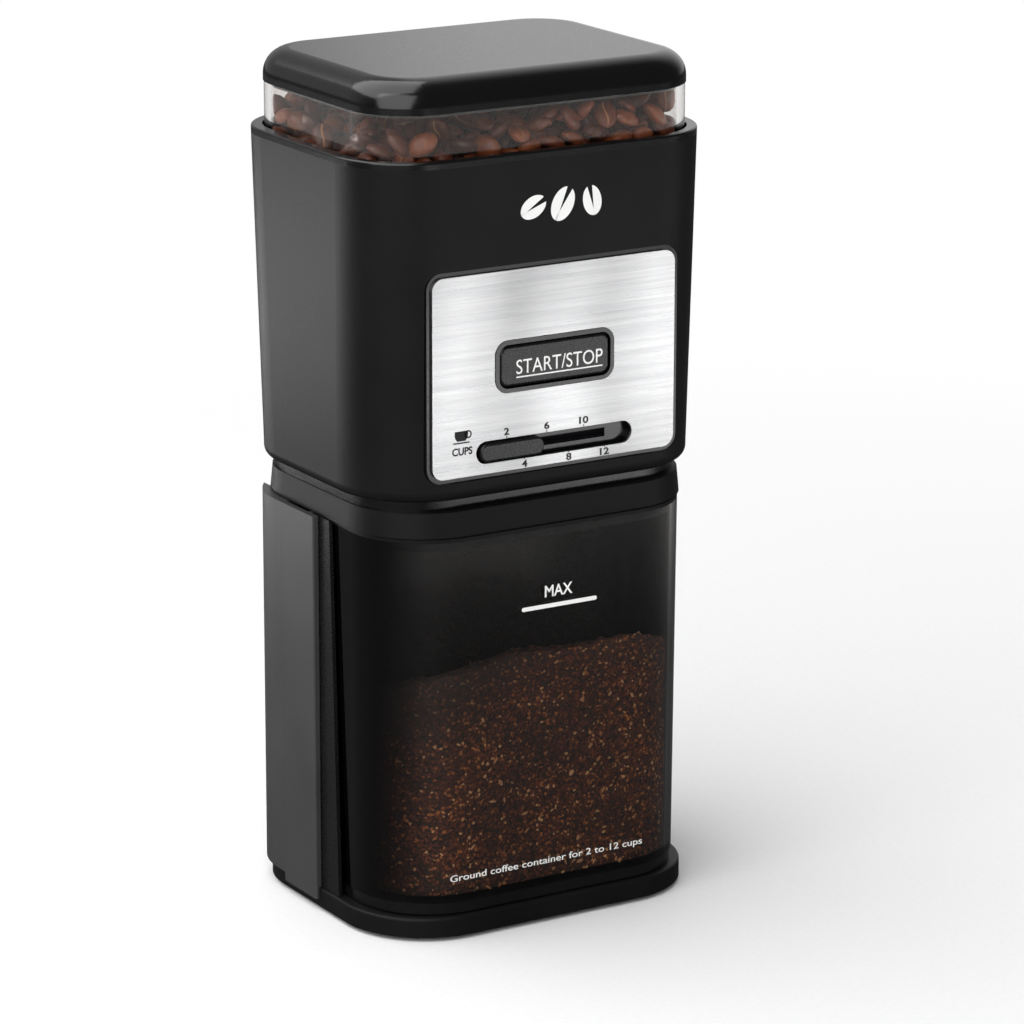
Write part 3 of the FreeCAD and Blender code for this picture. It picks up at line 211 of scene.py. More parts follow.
def roasted_bean():
    """Oily dark roast: each bean has its own brown, with a chaff line along its groove."""
    m, t = material("roasted_coffee_bean")
    own = add(t, "ShaderNodeAttribute", {"attribute_name": "bean_place"}).outputs["Vector"]
    shade_of = add(t, "ShaderNodeAttribute", {"attribute_name": "bean_shade"}).outputs["Fac"]
    brown = tones(t, shade_of, ((0.0, "#4C240F"), (0.5, "#733719"), (1.0, "#96522C")))
    skin = grit(t, 1.3, 4.0)
    mottled = add(t, "ShaderNodeMix", {"data_type": "RGBA", "blend_type": "MULTIPLY"}, {
        0: 0.6, 6: brown, 7: two_tone(t, skin, "#8C7A70", "#FFFFFF")}).outputs[2]
    xyz = add(t, "ShaderNodeSeparateXYZ", None, {"Vector": own})
    wave = add(t, "ShaderNodeMath", {"operation": "SINE"}, {0: add(
        t, "ShaderNodeMath", {"operation": "MULTIPLY"}, {0: xyz.outputs[0], 1: 0.7}).outputs[0]}).outputs[0]
    side = add(t, "ShaderNodeMath", {"operation": "MULTIPLY_ADD"},
               {0: wave, 1: 0.35, 2: xyz.outputs[1]}).outputs[0]
    off = add(t, "ShaderNodeMath", {"operation": "ABSOLUTE"}, {0: side}).outputs[0]
    line = add(t, "ShaderNodeMapRange", None, {
        "Value": off, "From Min": 0.16, "From Max": 0.42, "To Min": 1.0, "To Max": 0.0}).outputs[0]
    under = add(t, "ShaderNodeMath", {"operation": "LESS_THAN"}, {0: xyz.outputs[2], 1: -0.3}).outputs[0]
    groove = add(t, "ShaderNodeMath", {"operation": "MULTIPLY"}, {0: line, 1: under}).outputs[0]
    colour = add(t, "ShaderNodeMix", {"data_type": "RGBA"},
                 {0: groove, 6: mottled, 7: linear("#B07A4C")}).outputs[2]
    shade(t, add(t, "ShaderNodeBsdfPrincipled", None, {
        "Base Color": colour,
        "Roughness": between(t, skin, 0.34, 0.5),
        "Normal": relief(t, skin, 0.10),
        "Coat Weight": 0.25,
        "Coat Roughness": 0.16}))
    return m


def ground_coffee():
    """Medium grind: dark brown crumbs about half a millimetre across, with tan specks and chaff, and painted
    shade darkening the heap towards its top left.
    """
    m, t = material("ground_coffee")
    place = add(t, "ShaderNodeTexCoord").outputs["Object"]
    warp = add(t, "ShaderNodeTexNoise", None, {"Vector": place, "Scale": 1 / (1.6 * MM), "Detail": 2.0})
    bent = add(t, "ShaderNodeMix", {"data_type": "VECTOR"}, {0: 0.0008, 4: place, 5: warp.outputs["Color"]})
    crumb = add(t, "ShaderNodeTexVoronoi", None, {"Vector": bent.outputs[1], "Scale": 1 / (0.8 * MM)})
    pick = add(t, "ShaderNodeSeparateColor", None, {"Color": crumb.outputs["Color"]})
    brown = tones(t, pick.outputs[0], (
        (0.0, "#1E0E07"), (0.24, "#431F0D"), (0.55, "#60301A"), (0.8, "#834523"), (0.92, "#BC7238"),
        (0.975, "#EDB478")), steps=True)
    drift = grit(t, 24.0, 2.0)
    colour = add(t, "ShaderNodeMix", {"data_type": "RGBA", "blend_type": "MULTIPLY"}, {
        0: 0.7, 6: brown, 7: two_tone(t, drift, "#8A7468", "#FFFFFF")}).outputs[2]
    xyz = add(t, "ShaderNodeSeparateXYZ", None, {"Vector": place})
    # Painted shade: higher up and further left the grounds fade towards near-black #150A06, with a ragged
    # edge, standing in for the shade over the top left of the heap.
    slope = add(t, "ShaderNodeMath", {"operation": "MULTIPLY_ADD"},
                {0: xyz.outputs[0], 1: -0.55, 2: xyz.outputs[2]}).outputs[0]
    ragged = add(t, "ShaderNodeMath", {"operation": "MULTIPLY_ADD"}, {0: drift, 1: 0.03, 2: slope}).outputs[0]
    painted_shade = add(t, "ShaderNodeMapRange", {"interpolation_type": "SMOOTHSTEP"}, {
        "Value": ragged, "From Min": 0.094, "From Max": 0.122, "To Min": 0.0, "To Max": 0.8}).outputs[0]
    colour = add(t, "ShaderNodeMix", {"data_type": "RGBA"},
                 {0: painted_shade, 6: colour, 7: linear("#150A06")}).outputs[2]
    shade(t, add(t, "ShaderNodeBsdfPrincipled", None, {
        "Base Color": colour,
        "Roughness": 0.68,
        "Normal": relief(t, crumb.outputs["Distance"], 0.5, 0.8)}))
    return m


# Spark-eroded ABS has a fine even grit that spreads its highlights; polished ABS shows sharp ones.
satin_black = moulded("spark_eroded_black_abs", "#0F0F10", "#131314", 0.44, 0.5, 0.006, gloss=0.17)
soft_black = moulded("fine_satin_black_abs", "#0E0E0F", "#121213", 0.27, 0.4, 0.003, gloss=0.35)
gloss_black = moulded("polished_black_abs", "#070708", "#0A0A0B", 0.17, 0.6, 0.0006, gloss=0.6)
satin_grey = moulded("satin_charcoal_abs", "#353536", "#3B3B3C", 0.42, 0.5, 0.006)
key_black = moulded("satin_key_cap_pc", "#0D0D0E", "#121213", 0.26, 0.4, 0.003)
hopper_clear = smoked_san("clear_san_hopper", "#EFEDEB", "#F4F2F0", 0.01)
# The container's side walls get painted shade: near-black from 42 to 58 mm off centre.
jar_clear = smoked_san("smoked_san_container", "#DAD8D6", "#F0EEEC", 0.01, painted_dark_sides=(42, 58))
stainless = brushed_stainless()
turned_steel = worked_metal("turned_carbon_steel", "#8E9092", "#B4B6B8", 0.26, 0.3, 0.004, (1, 1, 8))
burr_steel = worked_metal("sintered_burr_steel", "#5A5B5E", "#86878B", 0.42, 0.5, 0.03)
chrome_wire = worked_metal("chromed_spring_wire", "#C9CBCE", "#E0E2E4", 0.12, 1.2, 0.002)
zinc_plate = worked_metal("zinc_plated_steel", "#A3A59F", "#C6C8C3", 0.33, 1.8, 0.01)
ferrite = moulded("sintered_ferrite", "#2B2A2D", "#3C3A3D", 0.55, 0.5, 0.03)
copper = worked_metal("commutator_copper", "#A8633B", "#C98557", 0.30, 0.3, 0.005, (1, 1, 6))
bronze = worked_metal("oil_filled_bronze", "#8C6434", "#AF8146", 0.44, 0.4, 0.02)
carbon = moulded("brush_carbon", "#1A1A1C", "#2A2A2C", 0.62, 0.3, 0.02)
white_nylon = moulded("natural_nylon", "#CFCBBB", "#E0DCCD", 0.40, 0.8, 0.01)
grey_nylon = moulded("glass_filled_nylon", "#55575A", "#66686B", 0.50, 0.7, 0.03)
board_green = moulded("solder_mask_board", "#1C4A2E", "#26603C", 0.28, 0.9, 0.01, coat=0.3)
epoxy_black = moulded("moulded_epoxy_part", "#17181C", "#24262C", 0.38, 0.5, 0.01)
nitrile = moulded("nitrile_rubber", "#161616", "#1F1F1F", 0.66, 0.7, 0.03)
white_ink = printed_ink("white_pad_print", "#E6E6E4", "#F4F4F2")
black_ink = printed_ink("black_pad_print", "#161616", "#202020")
bean_skin = roasted_bean()
grounds_look = ground_coffee()

FINISHES = {
    satin_black: ["head_shell", "base_tray", "collar_ring", "container_lid", "burr_housing", "burr_carrier",
                  "discharge_chute"],
    soft_black: ["cradle_liner"],
    gloss_black: ["hopper_lid", "rim_bezel", "neck_plate", "control_bezel", "container_foot"],
    satin_grey: ["column_shell", "rear_cover"],
    key_black: ["start_button", "cups_slider"],
    hopper_clear: ["bean_hopper"],
    jar_clear: ["container_jar"],
    stainless: ["control_plate"],
    turned_steel: ["motor_pinion", "burr_shaft", "burr_nut", "motor_shaft", "motor_armature"],
    burr_steel: ["lower_burr", "upper_burr"],
    chrome_wire: ["carrier_handle"],
    zinc_plate: ["base_screws", "rear_cover_screws", "head_screws", "board_screws", "motor_can",
                 "motor_bracket", "motor_screws"],
    ferrite: ["motor_magnets"],
    copper: ["motor_commutator"],
    bronze: ["shaft_bush", "motor_bearings"],
    carbon: ["motor_brushes"],
    white_nylon: ["drive_gear", "motor_end_cap"],
    grey_nylon: ["chassis_deck", "gearbox_housing", "burr_hub"],
    board_green: ["control_board", "power_board"],
    epoxy_black: ["start_switch", "cups_potentiometer", "board_components", "power_components",
                  "container_switch"],
    nitrile: ["rubber_feet", "cord_gland"],
}
for finish, nodes in FINISHES.items():
    for node in nodes:
        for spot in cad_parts[node].material_slots:
            spot.material = finish


# ---------------------------------------------------------------- mesh helpers
def finished(bm, name, finish, body, smooth=False):
    """Turns a bmesh into a piece that wears one finish and rides on one body."""
    mesh = bpy.data.meshes.new(name)
    bm.to_mesh(mesh)
    bm.free()
    return piece(mesh, name, finish, body, smooth)


def piece(mesh, name, finish, body, smooth=False):
    mesh.materials.clear()
    mesh.materials.append(finish)
    for face in mesh.polygons:
        face.use_smooth = smooth
    obj = bpy.data.objects.new(name, mesh)
    bpy.context.scene.collection.objects.link(obj)
    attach(obj, body)
    return obj


# ---------------------------------------------------------------- prints
INK = 0.05 * MM
panel_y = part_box("control_plate")[0][1]
key_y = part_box("start_button")[0][1]
jar_low, jar_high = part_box("container_jar")
FRONT = Matrix.Rotation(math.pi / 2, 4, "X")


jar_high_front = jar_low[1]
jar_low_front = jar_low[1] + 0.5 * MM


def jar_face(z):
    """Y of the container's front face, which leans out a little towards its mouth."""
    lean = (z - jar_low[2]) / (jar_high[2] - jar_low[2])
    return jar_high_front + (jar_low_front - jar_high_front) * (1 - lean)


def lettering(name, words, x, z, face_y, ink, body, weight=0.0):
    """Print fitted into x (left, right) and z (foot, top), in millimetres, on a front face."""
    curve = bpy.data.curves.new(name, "FONT")
    curve.body = words
    curve.extrude = 0.5
    curve.offset = weight
    curve.resolution_u = 6
    source = bpy.data.objects.new(name + "_curve", curve)
    bpy.context.scene.collection.objects.link(source)
    mesh = bpy.data.meshes.new_from_object(source.evaluated_get(bpy.context.evaluated_depsgraph_get()))
    bpy.data.objects.remove(source)
    places = [v.co for v in mesh.vertices]
    low = [min(p[i] for p in places) for i in (0, 1)]
    high = [max(p[i] for p in places) for i in (0, 1)]
    wide, tall = (x[1] - x[0]) * MM / (high[0] - low[0]), (z[1] - z[0]) * MM / (high[1] - low[1])
    fit = Matrix.Diagonal((wide, tall, 2 * INK, 1)) @ Matrix.Translation((-low[0], -low[1], 0))
    mesh.transform(Matrix.Translation((x[0] * MM, face_y, z[0] * MM)) @ FRONT @ fit)
    return piece(mesh, name, ink, body)


def bar(name, x, z, face_y, ink, body, round_mm=0.0):
    """Printed bar between x (left, right) and z (foot, top), in millimetres."""
    bm = bmesh.new()
    bmesh.ops.create_cube(bm, size=1)
    size = Vector(((x[1] - x[0]) * MM, 2 * INK, (z[1] - z[0]) * MM))
    bmesh.ops.scale(bm, vec=size, verts=bm.verts)
    if round_mm:
        ends = [e for e in bm.edges if abs((e.verts[0].co - e.verts[1].co).y) > INK]
        bmesh.ops.bevel(bm, geom=ends, offset=round_mm * MM, segments=4, profile=0.5, affect="EDGES",
                        material=-1)
    bmesh.ops.translate(bm, vec=((x[0] + x[1]) / 2 * MM, face_y, (z[0] + z[1]) / 2 * MM), verts=bm.verts)
    return finished(bm, name, ink, body)


lettering("print_start_stop", "START/STOP", (-14.5, 18.0), (187.3, 192.0), key_y, white_ink, "button")
bar("print_start_line", (-14.5, 18.0), (186.1, 186.55), key_y, white_ink, "button", 0.2)

# Cups: middle of the number in x, and whether it stands above the slot.
MARKS = {2: (-18.1, True), 4: (-11.3, False), 6: (-3.0, True),
         8: (5.4, False), 10: (11.0, True), 12: (19.0, False)}
for cups, (x, above) in MARKS.items():
    wide = 1.0 if cups < 10 else 1.75
    foot = 167.8 if above else 156.3
    lettering(f"print_cups_{cups}", str(cups), (x - wide, x + wide), (foot, foot + 2.4),
              panel_y, black_ink, "stand", 0.03)
    tick = (166.8, 167.5) if above else (158.9, 159.5)
    bar(f"print_tick_{cups}", (x - 0.14, x + 0.14), tick, panel_y, black_ink, "stand")
lettering("print_cups", "CUPS", (-38.3, -30.8), (163.3, 165.9), panel_y, black_ink, "stand", 0.03)
lettering("print_max", "MAX", (-3.9, 6.6), (111.6, 115.5), jar_face(0.1135), white_ink, "container", 0.012)
bar("print_max_line", (-12.6, 16.0), (107.9, 109.3), jar_face(0.1086), white_ink, "container", 0.65)
lettering("print_container_note", "Ground coffee container for 2 to 12 cups", (-39.4, 34.8), (19.2, 22.2),
          jar_face(0.0207), white_ink, "container", 0.004)


def raised(bm):
    """Gives flat shapes the film's thickness, half of it above their plane."""
    top = bmesh.ops.extrude_face_region(bm, geom=bm.faces[:])["geom"]
    bmesh.ops.translate(bm, vec=(0, 0, 2 * INK), verts=[g for g in top if isinstance(g, bmesh.types.BMVert)])
    bmesh.ops.translate(bm, vec=(0, 0, -INK), verts=bm.verts)
    bmesh.ops.recalc_face_normals(bm, faces=bm.faces)


def front_face(node, x, z):
    """Y of the front of a CAD node at x and z."""
    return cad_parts[node].ray_cast(Vector((x, -1, z)), Vector((0, 1, 0)))[1].y


def cup_mark():
    """Small cup on a saucer, printed beside the cups scale."""
    bm = bmesh.new()
    bowl = bmesh.ops.create_circle(bm, cap_ends=True, segments=32, radius=2.5 * MM)["verts"]
    bmesh.ops.scale(bm, vec=(1, 1.15, 1), verts=bowl)
    for level, side in ((0.95, 1), (-2.3, -1)):
        geom = bm.verts[:] + bm.edges[:] + bm.faces[:]
        bmesh.ops.bisect_plane(bm, geom=geom, plane_co=(0, level * MM, 0), plane_no=(0, side, 0),
                               clear_outer=True)
    outer = bmesh.ops.create_circle(bm, segments=20, radius=1.35 * MM)["verts"]
    inner = bmesh.ops.create_circle(bm, segments=20, radius=0.85 * MM)["verts"]
    rims = [e for v in outer + inner for e in v.link_edges]
    bmesh.ops.bridge_loops(bm, edges=list(set(rims)))
    bmesh.ops.translate(bm, vec=(2.5 * MM, -0.3 * MM, 0), verts=outer + inner)
    saucer = bmesh.ops.create_grid(bm, x_segments=1, y_segments=1, size=1)["verts"]
    bmesh.ops.scale(bm, vec=(3.0 * MM, 0.22 * MM, 1), verts=saucer)
    bmesh.ops.translate(bm, vec=(0, -2.9 * MM, 0), verts=saucer)
    raised(bm)
    spot = Matrix.Translation((-34.9 * MM, panel_y, 170.3 * MM))
    bmesh.ops.transform(bm, matrix=spot @ FRONT, verts=bm.verts)
    return finished(bm, "print_cup_mark", black_ink, "stand")


def bean_mark():
    """Generic row of three coffee beans, each two halves with a slanting gap, on the head's front."""
    bm = bmesh.new()
    for shift, turn, size in ((-11.0, -62, 0.86), (0.0, -28, 1.0), (11.0, 12, 0.86)):
        place = Matrix.Translation((shift * MM, 0, 0)) @ Matrix.Rotation(math.radians(turn), 4, "Z")
        for side in (1, -1):
            half = bmesh.ops.create_circle(bm, cap_ends=True, segments=48, radius=1)["verts"]
            bmesh.ops.scale(bm, vec=(4.0 * size * MM, 5.8 * size * MM, 1), verts=half)
            edges = list({e for v in half for e in v.link_edges})
            faces = list({f for v in half for f in v.link_faces})
            cut = bmesh.ops.bisect_plane(bm, geom=half + edges + faces, plane_co=(side * 0.35 * MM, 0, 0),
                                         plane_no=(-side, 0.12, 0), clear_outer=True)
            kept = {g for g in cut["geom"] if isinstance(g, bmesh.types.BMVert) and g.is_valid}
            bmesh.ops.transform(bm, matrix=place, verts=list(kept))
    raised(bm)
    x, low, high = 2.8 * MM, 236 * MM, 246 * MM
    foot, top = front_face("head_shell", x, low), front_face("head_shell", x, high)
    lean = Matrix.Rotation(math.atan2(foot - top, high - low), 4, "X")
    spot = Matrix.Translation((x, (foot + top) / 2, (low + high) / 2))
    bmesh.ops.transform(bm, matrix=spot @ lean @ FRONT, verts=bm.verts)
    return finished(bm, "print_bean_mark", white_ink, "stand")


cup_mark()
bean_mark()


# ---------------------------------------------------------------- coffee beans
BEAN = Vector((5.3, 3.8, 2.9))
hopper_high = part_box("bean_hopper")[1]


def bean_template():
    """One bean in millimetres: rounded back, flatter belly with a groove along it."""
    bm = bmesh.new()
    bmesh.ops.create_uvsphere(bm, u_segments=12, v_segments=7, radius=1,
                              matrix=Matrix.Rotation(math.pi / 2, 4, "Y"))
    own = bm.verts.layers.float_vector.new("bean_place")
    for v in bm.verts:
        v.co = Vector((v.co.x * BEAN.x, v.co.y * BEAN.y, v.co.z * BEAN.z * (1 if v.co.z > 0 else 0.62)))
        if v.co.z < 0 and abs(v.co.y) < 0.6:
            v.co.z += 0.75
        v[own] = v.co
    mesh = bpy.data.meshes.new("bean_template")
    bm.to_mesh(mesh)
    bm.free()
    return mesh


def settled_places(count, low, high, corner, gap, rng):
    """Random places in a box with rounded corners, pushed apart until they stand about gap apart."""
    spots = np.array([[rng.uniform(low[i], high[i]) for i in range(3)] for _ in range(count)])
    inner = np.array([high[0] - corner, high[1] - corner])
    for _ in range(70):
        apart = spots[:, None] - spots[None]
        far = np.linalg.norm(apart, axis=2) + np.eye(count) * 1e3
        push = np.clip(gap - far, 0, None)
        spots += 0.28 * (apart / far[..., None] * push[..., None]).sum(axis=1)
        spots = np.clip(spots, low, high)
        over = np.clip(np.abs(spots[:, :2]) - inner, 0, None)
        reach = np.linalg.norm(over, axis=1)
        wide = reach > corner
        spots[wide, :2] -= np.sign(spots[wide, :2]) * over[wide] * (1 - corner / reach[wide])[:, None]
    return spots


def coffee_beans():
    rng = random.Random(11)
    template = bean_template()
    top = (hopper_high[2] - 5.2 * MM) / MM
    half = ((hopper_high[0] - 2.6 * MM) / MM - 3.6, (hopper_high[1] - 2.6 * MM) / MM - 3.6)
    spots = settled_places(560, (-half[0], -half[1], top - 16), (half[0], half[1], top), 15, 7.4, rng)
    bm = bmesh.new()
    for x, y, z in spots:
        z -= 5 * min(1, max(0, (-x - y * 0.6) / 45))
        before = len(bm.verts)
        bm.from_mesh(template)
        tone = bm.verts.layers.float.get("bean_shade") or bm.verts.layers.float.new("bean_shade")
        bm.verts.ensure_lookup_table()
        new = bm.verts[before:]
        shade_here = rng.random()
        for v in new:
            v[tone] = shade_here
        turn = Matrix.Rotation(rng.uniform(0, math.tau), 4, "Z") @ Matrix.Rotation(rng.gauss(0, 0.5), 4, "Y")
        roll = Matrix.Rotation(rng.choice((0, 0, math.pi, 1.3)) + rng.gauss(0, 0.4), 4, "X")
        size = Matrix.Scale(rng.uniform(0.88, 1.06), 4)
        bmesh.ops.transform(bm, matrix=Matrix.Translation((x, y, z)) @ turn @ roll @ size, verts=new)
    bmesh.ops.scale(bm, vec=(MM, MM, MM), verts=bm.verts)
    keep_inside(bm, 0.5 * MM)
    bpy.data.meshes.remove(template)
    return finished(bm, "coffee_beans", bean_skin, "hopper", smooth=True)


def keep_inside(bm, gap):
    """Presses any point that pokes through the hopper's straight wall back inside it."""
    wall, corner = 2.6 * MM + gap, 18.5 * MM
    half = Vector((hopper_high[0] - wall, hopper_high[1] - wall))
    for v in bm.verts:
        flat = Vector((abs(v.co.x), abs(v.co.y)))
        core = half - Vector((corner, corner))
        over = Vector((max(0, flat.x - core.x), max(0, flat.y - core.y)))
        if over.length > corner:
            pressed = over * (corner / over.length)
            v.co.x -= math.copysign(over.x - pressed.x, v.co.x)
            v.co.y -= math.copysign(over.y - pressed.y, v.co.y)


def bean_bed():
    """The beans below the top ones, down to the throat, as one lumpy mass under them."""
    bm = bmesh.new()
    wall = 4.2 * MM
    bmesh.ops.create_cube(bm, size=1)
    size = Vector((2 * (hopper_high[0] - wall), 2 * (hopper_high[1] - wall), 18 * MM))
    bmesh.ops.scale(bm, vec=size, verts=bm.verts)
    upright = [e for e in bm.edges if abs((e.verts[0].co - e.verts[1].co).z) > 10 * MM]
    bmesh.ops.bevel(bm, geom=upright, offset=17 * MM, segments=8, profile=0.5, affect="EDGES", material=-1)
    bmesh.ops.translate(bm, vec=(0, 0, 246.5 * MM), verts=bm.verts)
    floor = min(bm.faces, key=lambda f: f.calc_center_median().z)
    grown = bmesh.ops.extrude_face_region(bm, geom=[floor])["geom"]
    bmesh.ops.delete(bm, geom=[floor], context="FACES_ONLY")
    lower = [g for g in grown if isinstance(g, bmesh.types.BMVert)]
    for v in lower:
        flat = Vector((v.co.x, v.co.y)).normalized() * 22.5 * MM
        v.co = Vector((flat.x, flat.y, 212 * MM))
    bmesh.ops.subdivide_edges(bm, edges=bm.edges[:], cuts=5, use_grid_fill=True)
    bmesh.ops.triangulate(bm, faces=bm.faces[:])
    bmesh.ops.subdivide_edges(bm, edges=bm.edges[:], cuts=2, use_grid_fill=True)
    own = bm.verts.layers.float_vector.new("bean_place")
    tone = bm.verts.layers.float.new("bean_shade")
    bm.normal_update()
    for v in bm.verts:
        cell = noise.voronoi(v.co / (7.5 * MM))
        v.co -= v.normal * min(1.0, cell[0][0]) * 2.4 * MM
        v[own] = Vector((0, 5, 5))
        v[tone] = noise.cell(cell[1][0] * 3.1) * 0.5 + 0.1
    return finished(bm, "bean_bed", bean_skin, "hopper", smooth=True)


coffee_beans()
bean_bed()


# ---------------------------------------------------------------- ground coffee
def grounds_heap():
    """Ground coffee in the container: fills it wall to wall, with an uneven top."""
    wall, floor_z, top_z = 2.55 * MM, jar_low[2] + 2.15 * MM, 89 * MM
    low = Vector((jar_low[0] + 0.6 * MM + wall, jar_low_front + wall, floor_z))
    high = Vector((-low.x, jar_high[1] - wall, top_z))
    bm = bmesh.new()
    bmesh.ops.create_cube(bm, size=1)
    bmesh.ops.scale(bm, vec=high - low, verts=bm.verts)
    bmesh.ops.translate(bm, vec=(low + high) / 2, verts=bm.verts)
    upright = [e for e in bm.edges if abs((e.verts[0].co - e.verts[1].co).z) > 10 * MM]
    front = [e for e in upright if e.verts[0].co.y < (low.y + high.y) / 2]
    bmesh.ops.bevel(bm, geom=front, offset=25.4 * MM, segments=10, profile=0.5, affect="EDGES", material=-1)
    for level in range(1, 32):
        z = low.z + (high.z - low.z) * level / 32
        geom = bm.verts[:] + bm.edges[:] + bm.faces[:]
        bmesh.ops.bisect_plane(bm, geom=geom, plane_co=(0, 0, z), plane_no=(0, 0, 1))
    for axis, count in ((0, 40), (1, 16)):
        for step in range(1, count):
            at = Vector((0, 0, 0))
            at[axis] = low[axis] + (high[axis] - low[axis]) * step / count
            no = Vector((0, 0, 0))
            no[axis] = 1
            geom = bm.verts[:] + bm.edges[:] + bm.faces[:]
            bmesh.ops.bisect_plane(bm, geom=geom, plane_co=at, plane_no=no)
    for v in bm.verts:
        share = max(0.0, (v.co.z - 60 * MM) / (top_z - 60 * MM))
        crumbs = noise.fractal(v.co / (3.2 * MM), 0.6, 2.0, 4) * 1.3 * MM
        mound = noise.noise(v.co.xy.to_3d() / (30 * MM)) * 3 * MM
        mound += 4 * MM * math.exp(-((v.co.x - 8 * MM) / (32 * MM)) ** 2) - 0.34 * (v.co.y - low.y)
        v.co.z += share * (mound + crumbs)
    return finished(bm, "ground_coffee_heap", grounds_look, "container", smooth=True)


def flakes():
    """Larger tan flakes of chaff lying against the container's front wall."""
    rng = random.Random(5)
    bm = bmesh.new()
    for _ in range(46):
        x, z = rng.uniform(-32, 32), 15 + 62 * rng.random() ** 2.0
        before = len(bm.verts)
        bmesh.ops.create_icosphere(bm, subdivisions=1, radius=1)
        bm.verts.ensure_lookup_table()
        new = bm.verts[before:]
        size = Vector((rng.uniform(0.5, 1.5), 0.25, rng.uniform(0.35, 0.8))) * MM
        bmesh.ops.scale(bm, vec=size, verts=new)
        turn = Matrix.Rotation(rng.uniform(0, math.pi), 3, "Y")
        bmesh.ops.rotate(bm, cent=(0, 0, 0), matrix=turn, verts=new)
        y = jar_face(z * MM) + 2.2 * MM + 0.3 * MM
        bmesh.ops.translate(bm, vec=(x * MM, y, z * MM), verts=new)
    return finished(bm, "chaff_flakes", chaff, "container", smooth=True)


chaff = moulded("coffee_chaff", "#A5673C", "#D9A878", 0.6, 0.6, 0.05)
grounds_heap()
flakes()


# ---------------------------------------------------------------- studio and camera
def studio_floor():
    """White paper that runs out to an even white; glossy parts mirror it as a dim grey."""
    bm = bmesh.new()
    bmesh.ops.create_circle(bm, cap_ends=True, segments=64, radius=6)
    mesh = bpy.data.meshes.new("studio_floor")
    bm.to_mesh(mesh)
    bm.free()
    m, t = material("white_seamless_paper")
    ray = add(t, "ShaderNodeLightPath").outputs
    fibre = two_tone(t, grit(t, 2.0), "#F6F6F6", "#F9F9F9")
    tone = add(t, "ShaderNodeMix", {"data_type": "RGBA"},
               {0: ray["Is Glossy Ray"], 6: fibre, 7: linear("#4A4A4A")}).outputs[2]
    paper = add(t, "ShaderNodeBsdfPrincipled", None,
                {"Base Color": tone, "Roughness": 0.75, "Specular IOR Level": 0.2})
    place = add(t, "ShaderNodeTexCoord").outputs["Object"]
    out = add(t, "ShaderNodeVectorMath", {"operation": "LENGTH"}, {0: place}).outputs["Value"]
    far = add(t, "ShaderNodeMapRange", {"interpolation_type": "SMOOTHSTEP"},
              {"Value": out, "From Min": 0.28, "From Max": 0.8}).outputs[0]
    seen = add(t, "ShaderNodeMath", {"operation": "MAXIMUM"},
               {0: ray["Is Camera Ray"], 1: ray["Is Transmission Ray"]}).outputs[0]
    share = add(t, "ShaderNodeMath", {"operation": "MULTIPLY"}, {0: far, 1: seen}).outputs[0]
    glow = add(t, "ShaderNodeEmission", None, {"Color": (1, 1, 1, 1), "Strength": 1.0})
    shade(t, add(t, "ShaderNodeMixShader", None, {0: share, 1: paper.outputs[0], 2: glow.outputs[0]}))
    mesh.materials.append(m)
    floor = bpy.data.objects.new("studio_floor", mesh)
    bpy.context.scene.collection.objects.link(floor)


def soft_light(name, place, aim, size, power, colour="#FFFFFF"):
    lamp = bpy.data.lights.new(name, "AREA")
    lamp.shape = "RECTANGLE"
    lamp.size, lamp.size_y = size
    lamp.energy = power
    lamp.color = linear(colour)[:3]
    obj = bpy.data.objects.new(name, lamp)
    obj.location = place
    obj.rotation_euler = (Vector(aim) - Vector(place)).to_track_quat("-Z", "Y").to_euler()
    bpy.context.scene.collection.objects.link(obj)


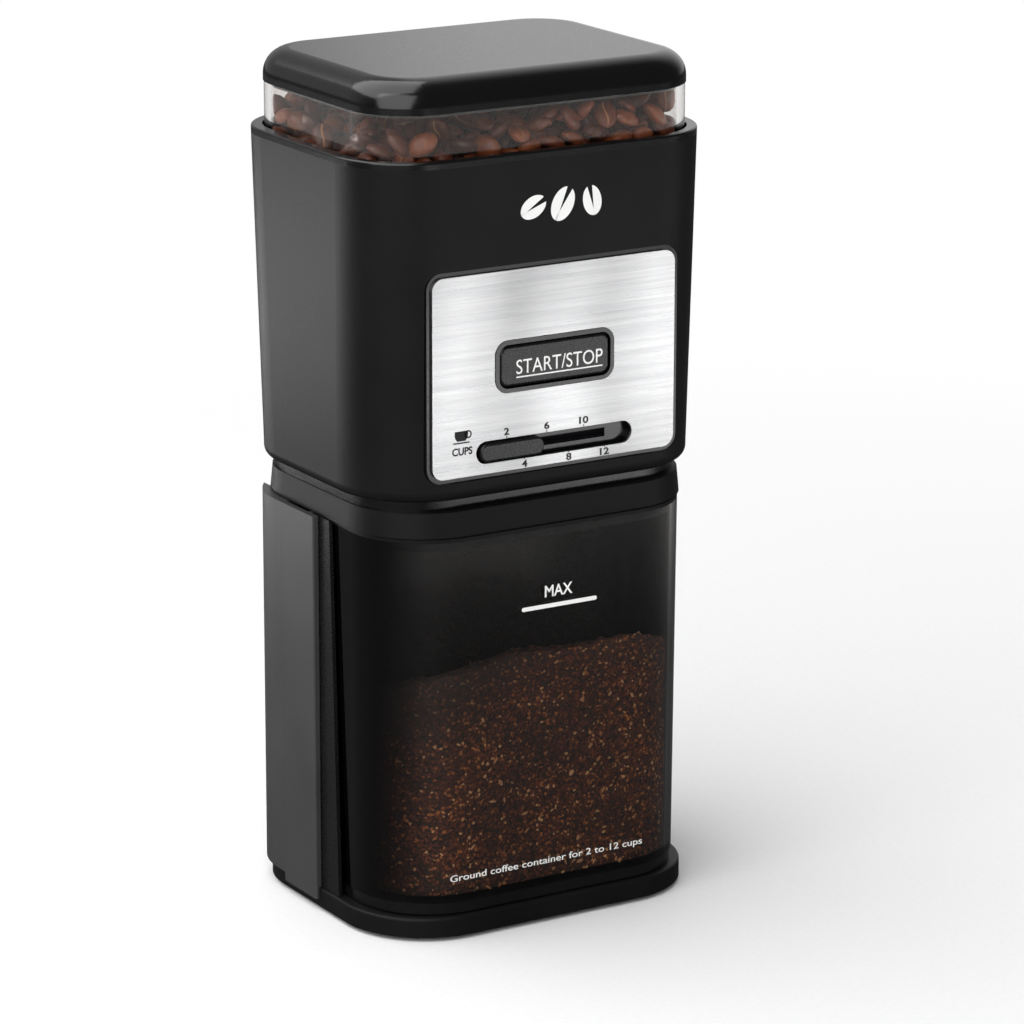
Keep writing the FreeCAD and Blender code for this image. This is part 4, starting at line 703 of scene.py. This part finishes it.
def studio_sky():
    """White backdrop; what gloss mirrors is a dim room that brightens softly behind the object."""
    world = bpy.data.worlds.new("studio")
    world.use_nodes = True
    t = world.node_tree
    t.nodes.clear()
    ray = add(t, "ShaderNodeLightPath").outputs
    way = add(t, "ShaderNodeTexCoord").outputs["Generated"]
    xyz = add(t, "ShaderNodeSeparateXYZ", None, {"Vector": way})
    back = add(t, "ShaderNodeMapRange", {"interpolation_type": "SMOOTHSTEP"}, {
        "Value": xyz.outputs[1], "From Min": -0.1, "From Max": 0.7,
        "To Min": 0.04, "To Max": 0.86}).outputs[0]
    across = add(t, "ShaderNodeVectorMath", {"operation": "DOT_PRODUCT"},
                 {0: way, 1: (0.859, -0.512, 0)}).outputs["Value"]
    fall = add(t, "ShaderNodeMapRange", {"interpolation_type": "SMOOTHSTEP"}, {
        "Value": across, "From Min": -0.07, "From Max": 0.01, "To Min": 0.4, "To Max": 1.0}).outputs[0]
    mirrored = add(t, "ShaderNodeMath", {"operation": "MULTIPLY"}, {0: back, 1: fall}).outputs[0]
    fill = add(t, "ShaderNodeMix", {"data_type": "FLOAT"},
               {0: ray["Is Diffuse Ray"], 2: 1.0, 3: 0.24}).outputs[0]
    strength = add(t, "ShaderNodeMix", {"data_type": "FLOAT"},
                   {0: ray["Is Glossy Ray"], 2: fill, 3: mirrored}).outputs[0]
    light = add(t, "ShaderNodeBackground", None, {"Color": (1, 1, 1, 1), "Strength": strength})
    add(t, "ShaderNodeOutputWorld", None, {"Surface": light.outputs[0]})
    bpy.context.scene.world = world


def camera():
    """Long lens, a little above the object, from its front left."""
    azimuth, tilt, far = math.radians(-30.78), math.radians(15.18), 1.5399
    back = Vector((math.sin(azimuth) * math.cos(tilt), -math.cos(azimuth) * math.cos(tilt), math.sin(tilt)))
    right = Vector((math.cos(azimuth), math.sin(azimuth), 0))
    data = bpy.data.cameras.new("studio_camera")
    data.sensor_width = 36
    data.lens = 162.9
    data.shift_x, data.shift_y = 0.0369, -0.0354
    obj = bpy.data.objects.new("studio_camera", data)
    turn = Matrix((right, back.cross(right), back)).transposed().to_4x4()
    obj.matrix_world = Matrix.Translation(Vector((0, 0, 0.140)) + back * far) @ turn
    bpy.context.scene.collection.objects.link(obj)
    bpy.context.scene.camera = obj


studio_floor()
studio_sky()
# The two low cards lie on the paper and give the steel sheet and the left side something to mirror.
soft_light("left_key", (-1.7, -1.3, 1.1), (0, 0, 0.16), (2.6, 2.6), 42)
soft_light("overhead_bank", (-0.7, 0.45, 1.85), (0, 0, 0.1), (2.6, 2.6), 46)
soft_light("low_card_front", (0.356, -0.65, 0.012), (0.346, -0.633, 1.0), (1.1, 0.38), 3.9)
soft_light("low_card_left", (-0.455, 0.655, 0.012), (-0.444, 0.639, 1.0), (0.8, 0.32), 5.6)
bpy.context.scene.view_settings.view_transform = "Standard"
camera()
